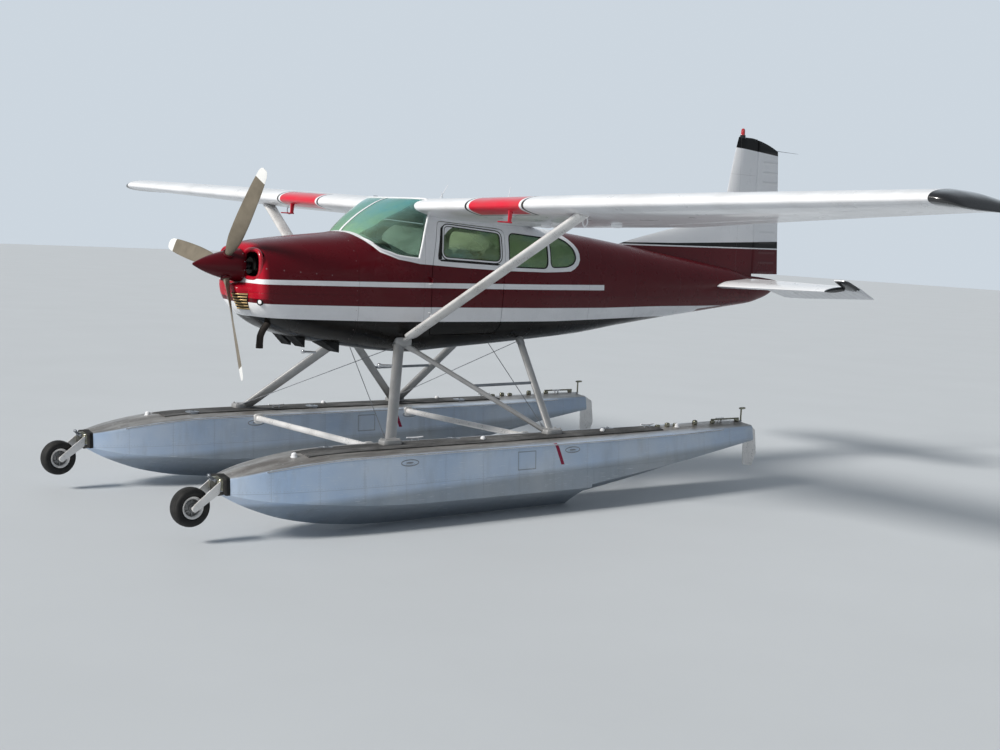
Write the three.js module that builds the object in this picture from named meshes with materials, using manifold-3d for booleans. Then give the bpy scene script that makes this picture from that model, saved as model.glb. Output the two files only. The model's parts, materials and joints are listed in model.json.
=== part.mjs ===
// Floatplane: high wing, strut braced, one engine, on two amphibious floats.
// Stations: s runs aft from the firewall, y runs to port, z runs up from the
// height datum at the lower cabin side. All driving dimensions are in metres
// and the finished meshes are in millimetres, with +X at the nose and +Z up.
import * as THREE from 'three';
import { mergeVertices } from 'three/addons/utils/BufferGeometryUtils.js';
import Module from 'manifold-3d';

const wasm = await Module();
wasm.setup();
const { Manifold, Mesh } = wasm;

// Placing in the finished frame
const MM = 1000;
const KEEL_DEPTH = 1.487;
const MIDDLE_STATION = 2.105;
const SEAT_GAP = 0.0003;
const RUNNING_GAP = 0.006;

// Fuselage
const FIREWALL = 0;
const CABIN_END = 2.95;
const CABIN_WALL = 0.03;
const RING_POINTS = 24;
const FUSELAGE_WIDEST = 0.46;

// Wing
const WING_LE_STATION = 0.61;
const WING_LE_HEIGHT = 1.271;
const WING_DIHEDRAL = 0.0302;
const WING_INCIDENCE = 0.0785;
const WING_TIP_INCIDENCE = 0.03;
const ROOT_CHORD = 1.62;
const WING_ROOT_Y = 0.44;
const WING_BREAK_Y = 2.54;
const CAP_Y = 5.937;
const CAP_CHORD = 1.08;
const CAP_LE_STATION = 0.739;
const TIP_Y = 6.12;
const FLAP_HINGE = 0.72;
const FLAP_Y = [0.6, 2.5];
const AILERON_HINGE = 0.76;
const AILERON_Y = [2.6, 5.3];

// Tail
const RUDDER_HINGE = 5.95;
const ELEVATOR_HINGE = 5.84;
const ELEVATOR_HINGE_Z = 0.652;
const STABILISER_RISE = 0.092;
const STABILISER_TIP_Y = 1.5;
const ELEVATOR_TIP_Y = 1.66;
const ELEVATOR_DROOP = (20 * Math.PI) / 180;

// Propeller
const PROP_STATION = -1.115;
const PROP_AXIS_Z = 0.682;
const PROP_RADIUS = 1.067;
const PROP_FIRST_BLADE = 0.668;
const SPINNER_RADIUS = 0.15;
const SPINNER_TIP = -1.425;
const SPINNER_BASE = -0.972;

// Floats
const FLOAT_Y = 1.297;
const DECK_Z = -0.787;
const STEP_STATION = 1.95;
const STEP_DEPTH = 0.07;
const WHEEL_STATION = -2.06;
const WHEEL_Z = -1.19;
const TYRE_RADIUS = 0.16;
const TYRE_HALF_WIDTH = 0.062;
const RIM_RADIUS = 0.088;

// Materials
const SLOTS = {
  paint_maroon: { color: 0x5a0d1c, roughness: 0.25, metalness: 0.1 },
  paint_white: { color: 0xe9eaec, roughness: 0.3, metalness: 0.0 },
  paint_black: { color: 0x121214, roughness: 0.3, metalness: 0.0 },
  bare_aluminium: { color: 0xb4b9c0, roughness: 0.35, metalness: 0.9 },
  float_aluminium: { color: 0xaeb9c6, roughness: 0.45, metalness: 0.6 },
  engine_grey: { color: 0x4a4c50, roughness: 0.6, metalness: 0.5 },
  blade_grey: { color: 0x77736c, roughness: 0.45, metalness: 0.5 },
  steel: { color: 0x8d949d, roughness: 0.4, metalness: 0.9 },
  clear_acrylic: { color: 0x9fc6c4, roughness: 0.05, metalness: 0.0 },
  tan_fabric: { color: 0xb69a6e, roughness: 0.9, metalness: 0.0 },
  panel_black: { color: 0x1b1b1d, roughness: 0.7, metalness: 0.0 },
  tyre_rubber: { color: 0x151515, roughness: 0.9, metalness: 0.0 },
};

// Point in the finished frame, from station, port distance and height
function at(s, y, z) {
  return [(MIDDLE_STATION - s) * MM, y * MM, (z + KEEL_DEPTH) * MM];
}

// Closed solid from triangles given as nine numbers each
function solidFrom(triangles) {
  const index = new Map();
  const points = [];
  const faces = [];
  const id = (p) => {
    const key = `${Math.round(p[0] * 1e4)},${Math.round(p[1] * 1e4)},${Math.round(p[2] * 1e4)}`;
    if (!index.has(key)) {
      index.set(key, points.length / 3);
      points.push(p[0], p[1], p[2]);
    }
    return index.get(key);
  };
  for (const [a, b, c] of triangles) {
    const [i, j, k] = [id(a), id(b), id(c)];
    if (i !== j && j !== k && k !== i) faces.push([i, j, k]);
  }
  let volume = 0;
  const at3 = (i) => [points[3 * i], points[3 * i + 1], points[3 * i + 2]];
  for (const [i, j, k] of faces) {
    const [a, b, c] = [at3(i), at3(j), at3(k)];
    volume += a[0] * (b[1] * c[2] - b[2] * c[1]);
    volume -= a[1] * (b[0] * c[2] - b[2] * c[0]);
    volume += a[2] * (b[0] * c[1] - b[1] * c[0]);
  }
  const flat = volume > 0 ? faces.flat() : faces.map(([i, j, k]) => [i, k, j]).flat();
  return new Manifold(new Mesh({
    numProp: 3,
    vertProperties: new Float32Array(points),
    triVerts: new Uint32Array(flat),
  }));
}

// Area vector of a ring
function ringNormal(ring) {
  const n = [0, 0, 0];
  for (let i = 0; i < ring.length; i += 1) {
    const a = ring[i];
    const b = ring[(i + 1) % ring.length];
    n[0] += a[1] * b[2] - a[2] * b[1];
    n[1] += a[2] * b[0] - a[0] * b[2];
    n[2] += a[0] * b[1] - a[1] * b[0];
  }
  return n;
}

// Triangles that close a ring, turned the same way round as the ring
function capTriangles(ring) {
  const facing = ringNormal(ring);
  const n = facing.map(Math.abs);
  const drop = n.indexOf(Math.max(...n));
  const keep = [0, 1, 2].filter((axis) => axis !== drop);
  const flat = ring.map((p) => new THREE.Vector2(p[keep[0]], p[keep[1]]));
  return THREE.ShapeUtils.triangulateShape(flat, []).map((t) => {
    const corners = t.map((i) => ring[i]);
    const own = ringNormal(corners);
    const same = own[drop] * facing[drop] > 0;
    return same ? corners : corners.reverse();
  });
}

// Solid through rings of equal point count, closed at both ends
function loft(rings) {
  const triangles = [];
  for (let i = 0; i + 1 < rings.length; i += 1) {
    const n = rings[i].length;
    for (let j = 0; j < n; j += 1) {
      const a = rings[i][j];
      const b = rings[i][(j + 1) % n];
      const c = rings[i + 1][(j + 1) % n];
      const d = rings[i + 1][j];
      triangles.push([a, b, c], [a, c, d]);
    }
  }
  const first = rings[0];
  const last = rings[rings.length - 1];
  const open = (ring) => Math.hypot(...ringNormal(ring)) > 1e-3;
  if (open(first)) triangles.push(...capTriangles(first).map(([a, b, c]) => [a, c, b]));
  if (open(last)) triangles.push(...capTriangles(last));
  return solidFrom(triangles);
}

// Side view polygon of station and height pairs, drawn out between two y values
function sideSlab(outline, y0, y1) {
  return loft([y0, y1].map((y) => outline.map(([s, z]) => at(s, y, z))));
}

// Upright box between stations, y values and heights
function block(s0, s1, y0, y1, z0, z1) {
  return sideSlab([[s0, z0], [s1, z0], [s1, z1], [s0, z1]], y0, y1);
}

function join(...solids) {
  return Manifold.union(solids);
}

// Largest of the separate lumps that a cut leaves
function mainPiece(solid) {
  return solid.decompose().sort((a, b) => b.volume() - a.volume())[0];
}

function mirrored(solid) {
  return solid.mirror([0, 1, 0]);
}

// Solid of revolution about a line through a point, from radius and offset pairs
function turned(profile, segments, centre, axis) {
  const rings = profile.map(([radius, offset]) => {
    const ring = [];
    for (let i = 0; i < segments; i += 1) {
      const a = (2 * Math.PI * i) / segments;
      ring.push([radius * Math.cos(a), radius * Math.sin(a), offset]);
    }
    return ring;
  });
  const turn = new THREE.Quaternion().setFromUnitVectors(
    new THREE.Vector3(0, 0, 1),
    new THREE.Vector3(...axis).normalize(),
  );
  const origin = new THREE.Vector3(...centre);
  const place = ([x, y, z]) => new THREE.Vector3(x, y, z).multiplyScalar(MM)
    .applyQuaternion(turn).add(origin).toArray();
  return loft(rings.map((ring) => ring.map(place)));
}

// Round rod between two points of the finished frame
function rod(from, to, radius, segments = 12) {
  const axis = to.map((v, i) => v - from[i]);
  const length = Math.hypot(...axis) / MM;
  return turned([[radius, 0], [radius, length]], segments, from, axis);
}

// Radius for a hole in which a round pin turns, both drawn with the same number of sides
function boreRadius(pin, segments) {
  return (pin + SEAT_GAP) / Math.cos(Math.PI / segments);
}

// Streamlined strut between two points, its long side along the given direction
function streamlined(from, to, chord, thickness, fore, points = 12) {
  const axis = new THREE.Vector3(...to).sub(new THREE.Vector3(...from)).normalize();
  const long = new THREE.Vector3(...fore);
  long.addScaledVector(axis, -long.dot(axis)).normalize();
  const across = new THREE.Vector3().crossVectors(axis, long);
  const ring = (centre) => {
    const out = [];
    for (let i = 0; i < points; i += 1) {
      const a = (2 * Math.PI * i) / points;
      const u = Math.cos(a) * chord * 0.5;
      const taper = 0.75 + 0.25 * Math.cos(a);
      const v = Math.sin(a) * thickness * 0.5 * taper / 0.85;
      out.push(new THREE.Vector3(...centre).addScaledVector(long, u * MM)
        .addScaledVector(across, v * MM).toArray());
    }
    return out;
  };
  return loft([ring(from), ring(to)]);
}

const signedPower = (v, e) => Math.sign(v) * Math.abs(v) ** e;
const mix = (a, b, t) => a + (b - a) * t;

// Height of the widest place of a section, kept off the ends of a shallow one
const WIDEST_RANGE = [0.35, 0.65];

function widestHeight(bottom, top) {
  const [low, high] = WIDEST_RANGE.map((part) => mix(bottom, top, part));
  return Math.min(Math.max(FUSELAGE_WIDEST, low), high);
}

// Fuselage ring at one station: rounded box with its own upper and lower fullness
function bodyRing([s, half, bottom, top, full, lean], grow) {
  const out = [];
  const widest = widestHeight(bottom, top);
  const up = top + grow - widest;
  const down = widest - (bottom - grow);
  for (let i = 0; i < RING_POINTS; i += 1) {
    const a = (2 * Math.PI * (i + 0.5)) / RING_POINTS;
    const v = signedPower(Math.sin(a), 2 / full);
    const z = widest + v * (v > 0 ? up : down);
    const narrow = 1 - lean * Math.max(0, z - widest);
    out.push(at(s, signedPower(Math.cos(a), 2 / full) * (half + grow) * narrow, z));
  }
  return out;
}

// Stations: station, half width, bottom, top, fullness, lean of the upper sides
const COWL_STATIONS = [
  [-0.955, 0.362, 0.26, 0.85, 3.0, 0],
  [-0.935, 0.398, 0.215, 0.876, 3.0, 0],
  [-0.87, 0.428, 0.16, 0.902, 3.0, 0],
  [-0.7, 0.455, 0.1, 0.93, 3.0, 0],
  [-0.35, 0.485, 0.02, 0.974, 3.2, 0],
  [FIREWALL - SEAT_GAP, 0.508, -0.035, 1.013, 3.4, 0],
];
const CHIN_STATIONS = [
  [-1.05, 0.12, 0.455, 0.512, 2.4, 0],
  [-1.02, 0.15, 0.405, 0.522, 2.4, 0],
  [-0.965, 0.185, 0.325, 0.524, 2.5, 0],
  [-0.9, 0.215, 0.235, 0.58, 2.6, 0],
  [-0.7, 0.28, 0.14, 0.6, 3.0, 0],
];
const DECK_STATIONS = [
  [0, 0.508, -0.035, 1.013, 3.4, 0],
  [0.14, 0.515, -0.052, 1.036, 3.6, 0],
  [0.35, 0.525, -0.078, 0.99, 4.0, 0],
  [0.64, 0.535, -0.097, 0.86, 4.5, 0],
  [0.7, 0.535, -0.1, 0.84, 4.5, 0],
];
const CABIN_STATIONS = [
  [0.62, 0.535, -0.095, 1.352, 4.6, 0.055],
  [0.76, 0.537, -0.1, 1.372, 4.6, 0.06],
  [0.95, 0.538, -0.084, 1.38, 4.6, 0.06],
  [1.3, 0.538, -0.058, 1.36, 4.6, 0.06],
  [1.7, 0.53, -0.031, 1.296, 4.6, 0.06],
  [2.23, 0.505, 0.006, 1.172, 4.4, 0.06],
  [2.6, 0.462, 0.03, 1.135, 4.0, 0.07],
  [CABIN_END, 0.415, 0.056, 1.105, 3.6, 0.08],
];
const TAIL_STATIONS = [
  [CABIN_END + SEAT_GAP, 0.415, 0.056, 1.105, 3.6, 0.08],
  [3.6, 0.335, 0.134, 1.035, 3.0, 0.06],
  [4.3, 0.265, 0.215, 0.95, 2.6, 0],
  [5.0, 0.198, 0.292, 0.865, 2.4, 0],
  [5.6, 0.135, 0.36, 0.785, 2.3, 0],
  [5.9, 0.1, 0.395, 0.72, 2.3, 0],
  [6.1, 0.068, 0.44, 0.705, 2.2, 0],
  [6.3, 0.036, 0.51, 0.685, 2.0, 0],
  [6.42, 0.014, 0.61, 0.668, 2.0, 0],
];

function hull(stations, grow = 0, endGrow = 0) {
  const rings = stations.map((row) => bodyRing(row, grow));
  if (endGrow) {
    const first = [...stations[0]];
    const last = [...stations[stations.length - 1]];
    first[0] -= endGrow;
    last[0] += endGrow;
    rings[0] = bodyRing(first, grow);
    rings[rings.length - 1] = bodyRing(last, grow);
  }
  return loft(rings);
}

// Windscreen: flat slices, each a half ellipse ahead of straight sides.
// Columns: height, station of the nose of the slice, half width
const SCREEN_SLICES = [
  [0.74, -0.16, 0.53],
  [0.9, 0.0, 0.527],
  [1.054, 0.118, 0.516],
  [1.13, 0.203, 0.511],
  [1.206, 0.303, 0.508],
  [1.27, 0.407, 0.505],
  [1.325, 0.51, 0.501],
  [1.366, 0.633, 0.498],
  [1.372, 0.68, 0.497],
];
const SCREEN_REAR = 0.8;
const SCREEN_POINTS = 16;

function screenBody(grow) {
  const rear = SCREEN_REAR + grow;
  const rings = SCREEN_SLICES.map(([z, nose, half], row) => {
    const ring = [];
    for (let i = 0; i <= SCREEN_POINTS; i += 1) {
      const a = -Math.PI / 2 + (Math.PI * i) / SCREEN_POINTS;
      const reach = rear - nose + grow;
      const y = (half + grow) * signedPower(Math.sin(a), 0.8);
      const lift = row === SCREEN_SLICES.length - 1 ? grow : 0;
      ring.push(at(rear - reach * Math.max(Math.cos(a), 0) ** 0.8, y, z + lift));
    }
    return ring;
  });
  return loft(rings);
}

// Aerofoil ordinates, as parts of the chord: place, upper, lower
const AEROFOIL = [
  [0, 0, 0],
  [0.0125, 0.0235, -0.0185],
  [0.05, 0.0443, -0.0301],
  [0.12, 0.062, -0.039],
  [0.25, 0.0767, -0.0422],
  [0.4, 0.078, -0.038],
  [0.6, 0.0636, -0.0276],
  [0.8, 0.0375, -0.015],
  [0.93, 0.0148, -0.006],
  [1, 0.0016, -0.0016],
];

function aerofoilAt(x, side) {
  for (let i = 0; i + 1 < AEROFOIL.length; i += 1) {
    const a = AEROFOIL[i];
    const b = AEROFOIL[i + 1];
    if (x <= b[0]) return a[side] + ((b[side] - a[side]) * (x - a[0])) / (b[0] - a[0]);
  }
  return 0;
}

// Leading edge, chord and incidence of the wing at one distance from the centre
function wingStation(y) {
  const outer = Math.max(0, (y - WING_BREAK_Y) / (CAP_Y - WING_BREAK_Y));
  return {
    s: mix(WING_LE_STATION, CAP_LE_STATION, outer),
    z: WING_LE_HEIGHT + y * WING_DIHEDRAL,
    chord: mix(ROOT_CHORD, CAP_CHORD, outer),
    tilt: mix(WING_INCIDENCE, WING_TIP_INCIDENCE, outer),
  };
}

// Point of the wing at chord part x and chord-normal part h
function wingPoint(y, x, h, lift = 0) {
  const w = wingStation(y);
  return at(w.s + w.chord * (x + h * w.tilt), y, w.z + w.chord * (h - x * w.tilt) + lift);
}

function wingRing(y, grow = 0) {
  const upper = AEROFOIL.map(([x, u]) => wingPoint(y, x, u, grow));
  const lower = AEROFOIL.slice(1).reverse().map(([x, , l]) => wingPoint(y, x, l, -grow));
  return [...upper, ...lower];
}

// Hinged trailing piece, with a round nose about its hinge line
const NOSE_STEPS = 5;
const FLAP_BACK = [0.88, 1];

function flapRing(y, hinge) {
  const upper = aerofoilAt(hinge, 1);
  const lower = aerofoilAt(hinge, 2);
  const middle = (upper + lower) / 2;
  const radius = (upper - lower) / 2;
  const ring = [];
  for (let i = 0; i <= NOSE_STEPS; i += 1) {
    const a = Math.PI / 2 + (Math.PI * i) / NOSE_STEPS;
    ring.push(wingPoint(y, hinge + radius * Math.cos(a), middle + radius * Math.sin(a)));
  }
  for (const x of FLAP_BACK) ring.push(wingPoint(y, x, aerofoilAt(x, 2)));
  for (const x of [...FLAP_BACK].reverse()) ring.push(wingPoint(y, x, aerofoilAt(x, 1)));
  return ring;
}

function flapSolid([y0, y1], hinge) {
  return loft([y0 + RUNNING_GAP, y1 - RUNNING_GAP].map((y) => flapRing(y, hinge)));
}

// Space cut from the wing for a trailing piece. Columns of the cut: rear, low and high chord parts
const COVE_CUT = { rear: 1.1, low: -0.09, high: 0.12 };

function flapCove([y0, y1], hinge) {
  const { rear, low, high } = COVE_CUT;
  const front = hinge - (aerofoilAt(hinge, 1) - aerofoilAt(hinge, 2)) / 2 - RUNNING_GAP;
  const corners = [[front, low], [rear, low], [rear, high], [front, high]];
  return loft([y0, y1].map((y) => corners.map(([x, h]) => wingPoint(y, x, h))));
}

function hingePoint(y, hinge) {
  const middle = (aerofoilAt(hinge, 1) + aerofoilAt(hinge, 2)) / 2;
  return wingPoint(y, hinge, middle);
}

// Pins at both ends of a hinged trailing piece, and the holes they turn in
const PIN_RADIUS = 0.007;
const PIN_SIDES = 16;
const PIN_REACH = 0.014;
const PIN_ROOT = 0.03;
const PIN_END_PLAY = 0.004;

function hingeRods([y0, y1], hinge, radius, reach) {
  return join(
    rod(hingePoint(y0 - reach, hinge), hingePoint(y0 + PIN_ROOT, hinge), radius, PIN_SIDES),
    rod(hingePoint(y1 - PIN_ROOT, hinge), hingePoint(y1 + reach, hinge), radius, PIN_SIDES),
  );
}

const hingePins = (range, hinge) => hingeRods(range, hinge, PIN_RADIUS, PIN_REACH);
const hingeHoles = (range, hinge) => hingeRods(
  range, hinge, boreRadius(PIN_RADIUS, PIN_SIDES), PIN_REACH + PIN_END_PLAY,
);

const root = new THREE.Group();
root.name = 'floatplane';
const groups = new Map();

function add(body, name, slot, solid) {
  const mesh = solid.getMesh();
  const geometry = new THREE.BufferGeometry();
  const stride = mesh.numProp;
  const count = mesh.vertProperties.length / stride;
  const positions = new Float32Array(count * 3);
  for (let i = 0; i < count; i += 1) {
    for (let k = 0; k < 3; k += 1) positions[3 * i + k] = mesh.vertProperties[stride * i + k];
  }
  geometry.setAttribute('position', new THREE.BufferAttribute(positions, 3));
  geometry.setIndex(new THREE.BufferAttribute(new Uint32Array(mesh.triVerts), 1));
  const merged = mergeVertices(geometry, 1e-4);
  const material = new THREE.MeshStandardMaterial(SLOTS[slot]);
  material.name = slot;
  const node = new THREE.Mesh(merged, material);
  node.name = name;
  if (!groups.has(body)) {
    const group = new THREE.Group();
    group.name = `${body}_group`;
    groups.set(body, group);
    root.add(group);
  }
  groups.get(body).add(node);
}

// Cabin: outer skin, hollow, and the side openings drawn in the side view
const SCREEN_OPENING = [
  [-0.3, 1.05], [0.08, 1.045], [0.16, 1.02], [0.26, 0.94], [0.36, 0.87], [0.5, 0.825],
  [0.635, 0.815], [0.75, 1.2], [0.765, 1.255], [0.72, 1.32], [0.64, 1.358], [-0.3, 1.358],
];
const DOOR_OUTLINE = [
  [0.8, 0.08], [1.6, 0.095], [1.67, 0.16], [1.705, 0.75], [1.7, 1.1], [1.64, 1.122],
  [0.93, 1.166], [0.865, 1.165], [0.835, 0.95], [0.8, 0.72],
];
const DOOR_WINDOW = [
  [0.95, 0.805], [1.61, 0.78], [1.66, 0.82], [1.65, 1.072], [1.612, 1.096],
  [0.965, 1.143], [0.92, 1.118], [0.905, 0.85],
];
const SIDE_WINDOW = [
  [1.79, 0.752], [2.262, 0.745], [2.29, 0.775], [2.288, 1.026], [2.258, 1.053],
  [1.79, 1.083], [1.752, 1.055], [1.758, 0.78],
];
const REAR_WINDOW = [
  [2.358, 0.757], [2.59, 0.766], [2.69, 0.798], [2.738, 0.86], [2.705, 0.95], [2.615, 1.02],
  [2.5, 1.062], [2.362, 1.048], [2.334, 1.018], [2.334, 0.782],
];

// Same outline moved outwards by a distance, or inwards when it is negative
function offsetOutline(outline, distance) {
  const area = outline.reduce((sum, [s, z], i) => {
    const [s2, z2] = outline[(i + 1) % outline.length];
    return sum + s * z2 - s2 * z;
  }, 0);
  const side = Math.sign(area);
  const n = outline.length;
  return outline.map((p, i) => {
    const before = outline[(i + n - 1) % n];
    const after = outline[(i + 1) % n];
    const normal = (a, b) => {
      const d = [b[0] - a[0], b[1] - a[1]];
      const l = Math.hypot(...d);
      return [(side * d[1]) / l, (-side * d[0]) / l];
    };
    const m = normal(before, p);
    const k = normal(p, after);
    const scale = distance / (1 + m[0] * k[0] + m[1] * k[1]);
    return [p[0] + (m[0] + k[0]) * scale, p[1] + (m[1] + k[1]) * scale];
  });
}

// Whole cabin form, its port half mirrored so that both sides are alike
function cabinSolid(grow, endGrow = 0) {
  const whole = join(
    hull(DECK_STATIONS, grow, endGrow),
    hull(CABIN_STATIONS, grow, endGrow),
    screenBody(grow).intersect(block(FIREWALL - endGrow, 1, -1, 1, 0, 2)),
  );
  const port = whole.intersect(block(-1, 4, 0, 1, -1, 2));
  return join(port, mirrored(port));
}

const SIDE_REACH = [0.3, 0.7];
const cabinOuter = cabinSolid(0);
const cabinInner = cabinSolid(-CABIN_WALL, -CABIN_WALL);
const cabinSkin = cabinOuter.subtract(cabinInner);

// Skin of glass thickness, set in from the outer surface
const PANE_OUTER = -0.006;
const PANE_INNER = -0.0115;
const paneSkin = cabinSolid(PANE_OUTER, PANE_OUTER).subtract(cabinSolid(PANE_INNER, PANE_INNER));

function opening(outline, grow = 0) {
  return sideSlab(offsetOutline(outline, grow), ...SIDE_REACH);
}

const FLOOR = [[0.031, 0.0], [2.2, 0.06], [2.2, 0.075], [0.031, 0.02]];
let cabin = cabinSkin.subtract(sideSlab(SCREEN_OPENING, -SIDE_REACH[1], SIDE_REACH[1]));
for (const outline of [DOOR_OUTLINE, SIDE_WINDOW, REAR_WINDOW]) {
  const cut = opening(outline);
  cabin = cabin.subtract(cut).subtract(mirrored(cut));
}
const floorPlate = sideSlab(FLOOR, -0.6, 0.6).intersect(cabinSolid(-CABIN_WALL + 0.004));
const DOOR_SILL_CLEAR = 0.05;
const CABIN_HALF_WIDTH = 0.535;
const sillInside = CABIN_HALF_WIDTH - CABIN_WALL - DOOR_SILL_CLEAR;
const floorTrim = block(0.7, 1.8, sillInside, SIDE_REACH[1], -0.1, 0.4);
cabin = join(cabin, floorPlate.subtract(floorTrim).subtract(mirrored(floorTrim)));

// Wing solids before they are fitted to the cabin
const cabinClear = cabinSolid(SEAT_GAP);
let wing = loft([WING_ROOT_Y, WING_BREAK_Y, CAP_Y].map((y) => wingRing(y)));
wing = wing.subtract(flapCove(FLAP_Y, FLAP_HINGE)).subtract(flapCove(AILERON_Y, AILERON_HINGE));
wing = wing.subtract(hingeHoles(FLAP_Y, FLAP_HINGE)).subtract(hingeHoles(AILERON_Y, AILERON_HINGE));
wing = mainPiece(wing.subtract(cabinClear));
const flap = join(flapSolid(FLAP_Y, FLAP_HINGE), hingePins(FLAP_Y, FLAP_HINGE));
const aileron = join(flapSolid(AILERON_Y, AILERON_HINGE), hingePins(AILERON_Y, AILERON_HINGE));

// Tip fairing. Columns: y, chord part, shift aft, droop, thickness part
const TIP_ROWS = [
  [CAP_Y + SEAT_GAP, 1, 0, 0, 1],
  [6.0, 0.99, 0.01, 0.008, 0.95],
  [6.07, 0.94, 0.05, 0.022, 0.75],
  [TIP_Y, 0.8, 0.14, 0.045, 0.4],
];
const tip = loft(TIP_ROWS.map(([y, part, shift, droop, thick]) => AEROFOIL
  .map(([x, u]) => [x, u * thick])
  .concat(AEROFOIL.slice(1).reverse().map(([x, , l]) => [x, l * thick]))
  .map(([x, h]) => {
    const w = wingStation(CAP_Y);
    const c = w.chord;
    return at(
      w.s + shift + c * part * x,
      y,
      w.z + (y - CAP_Y) * WING_DIHEDRAL + c * (h - (x * part + shift / c) * w.tilt) - droop,
    );
  })));

// Wing strut
const WING_STRUT_FOOT = [0.542, 0.5, 0.038];
const WING_STRUT_HEAD = [0.826, 2.56, 1.271];
const WING_STRUT_CHORD = 0.15;
const WING_STRUT_THICKNESS = 0.058;
const wingClear = loft([WING_ROOT_Y, WING_BREAK_Y, CAP_Y].map((y) => wingRing(y, SEAT_GAP)));
const strutLong = [1, 0, 0.05];
let wingStrut = streamlined(
  at(...WING_STRUT_FOOT), at(...WING_STRUT_HEAD), WING_STRUT_CHORD, WING_STRUT_THICKNESS, strutLong,
);

// Floats. Columns: station, half beam, deck, chine, keel, drop of the rounded deck edge
const FLOAT_ROWS = [
  [-1.815, 0.112, -0.945, -1.075, -1.102, 0.02],
  [-1.7, 0.175, -0.915, -1.105, -1.17, 0.025],
  [-1.5, 0.245, -0.872, -1.14, -1.262, 0.03],
  [-1.2, 0.302, -0.824, -1.175, -1.364, 0.035],
  [-0.8, 0.345, -0.793, -1.21, -1.44, 0.035],
  [-0.35, 0.364, DECK_Z, -1.24, -1.479, 0.035],
  [0, 0.37, DECK_Z, -1.25, -1.487, 0.035],
  [STEP_STATION - 0.001, 0.37, DECK_Z, -1.26, -1.487, 0.035],
  [STEP_STATION, 0.37, DECK_Z, -1.23, -1.487 + STEP_DEPTH, 0.035],
  [3.1, 0.325, DECK_Z, -1.11, -1.25, 0.035],
  [4.38, 0.24, -0.777, -0.955, -1.02, 0.03],
];

function floatRing([s, beam, deck, chine, keel, drop], grow) {
  const half = [
    [0, keel - grow],
    [0.6 * beam, mix(keel, chine, 0.52) - grow],
    [beam + grow, chine - grow],
    [beam * 0.9 + grow, deck - drop * 2.6],
    [beam * 0.74 + grow, deck - drop * 1.6 + grow],
    [beam * 0.52, deck - drop * 0.92 + grow],
  ];
  const top = [[0, deck - drop * 0.35 + grow]];
  const left = half.map(([y, z]) => at(s, FLOAT_Y + y, z));
  const right = half.slice(1).reverse().map(([y, z]) => at(s, FLOAT_Y - y, z));
  return [...left, ...top.map(([y, z]) => at(s, FLOAT_Y + y, z)), ...right];
}
const floatHull = loft(FLOAT_ROWS.map((row) => floatRing(row, 0)));
const floatClear = loft(FLOAT_ROWS.map((row) => floatRing(row, SEAT_GAP)));

// Float struts. Columns: foot station, head station, head y, head z, chord, thickness
const STRUT_ROWS = [
  [-0.148, 0.518, 0.44, 0.02, 0.115, 0.05],
  [1.735, 0.545, 0.44, 0.012, 0.085, 0.045],
  [1.735, 2.02, 0.4, 0.06, 0.105, 0.048],
];
const STRUT_FEET = [-0.148, 1.735];
const STRUT_FOOT_Z = -0.81;
const STRUT_LONG = [1, 0, 0.3];
const PAD = { length: 0.18, width: 0.1, top: -0.742 };
const HEAD = { s: [0.44, 0.62], y: [0.42, 0.5], z: [-0.03, 0.06] };
const struts = (grow) => STRUT_ROWS.map(([foot, head, y, z, chord, thick]) => streamlined(
  at(foot, FLOAT_Y, STRUT_FOOT_Z), at(head, y, z), chord + grow, thick + grow, STRUT_LONG,
));
const headBlock = (grow) => block(
  HEAD.s[0] - grow, HEAD.s[1] + grow, HEAD.y[0] - grow, HEAD.y[1] + grow,
  HEAD.z[0] - grow, HEAD.z[1] + grow,
);
const footPads = STRUT_FEET.map((s) => block(
  s - PAD.length / 2, s + PAD.length / 2, FLOAT_Y - PAD.width / 2, FLOAT_Y + PAD.width / 2,
  STRUT_FOOT_Z, PAD.top,
));

// Boarding bar from the slanted strut to the rear one, and a peg ahead of the front strut
const boardingBar = rod(at(1.08, 0.84, -0.372), at(1.88, 0.842, -0.362), 0.014, 10);
const boardingPeg = rod(at(0.35, 0.65, -0.182), at(0.15, 0.66, -0.175), 0.013, 10);
let truss = join(...struts(0), headBlock(0), ...footPads, boardingBar, boardingPeg);
truss = mainPiece(truss.subtract(cabinClear).subtract(floatClear));
const STRUT_CLEAR = 0.001;
const trussClear = join(...struts(STRUT_CLEAR), headBlock(SEAT_GAP));
wingStrut = mainPiece(wingStrut.subtract(cabinClear).subtract(wingClear).subtract(trussClear));

// Spreader bars between the floats
const SPREADER_Z = -0.862;
const SPREADER_RADIUS = 0.035;
const SPREADERS = [['spreader_front', -0.148], ['spreader_rear', 1.68]];

// Tail. Fin rows: height, leading edge, station and half thickness of the fattest place
const FIN_ROWS = [
  [0.62, 2.6, 5.3, 0.05],
  [1.03, 3.74, 5.35, 0.048],
  [1.235, 4.6, 5.45, 0.044],
  [1.42, 5.36, 5.6, 0.041],
  [2.31, 5.58, 5.72, 0.026],
  [2.335, 5.6, 5.73, 0.018],
];
const COVE = 0.042;
const fin = loft(FIN_ROWS.map(([z, nose, fat, half]) => [
  [nose, 0.004], [mix(nose, fat, 0.5), half * 0.7], [fat, half],
  [RUDDER_HINGE - COVE, half * 0.8], [RUDDER_HINGE - COVE, -half * 0.8],
  [fat, -half], [mix(nose, fat, 0.5), -half * 0.7], [nose, -0.004],
].map(([s, y]) => at(s, y, z))));

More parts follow.
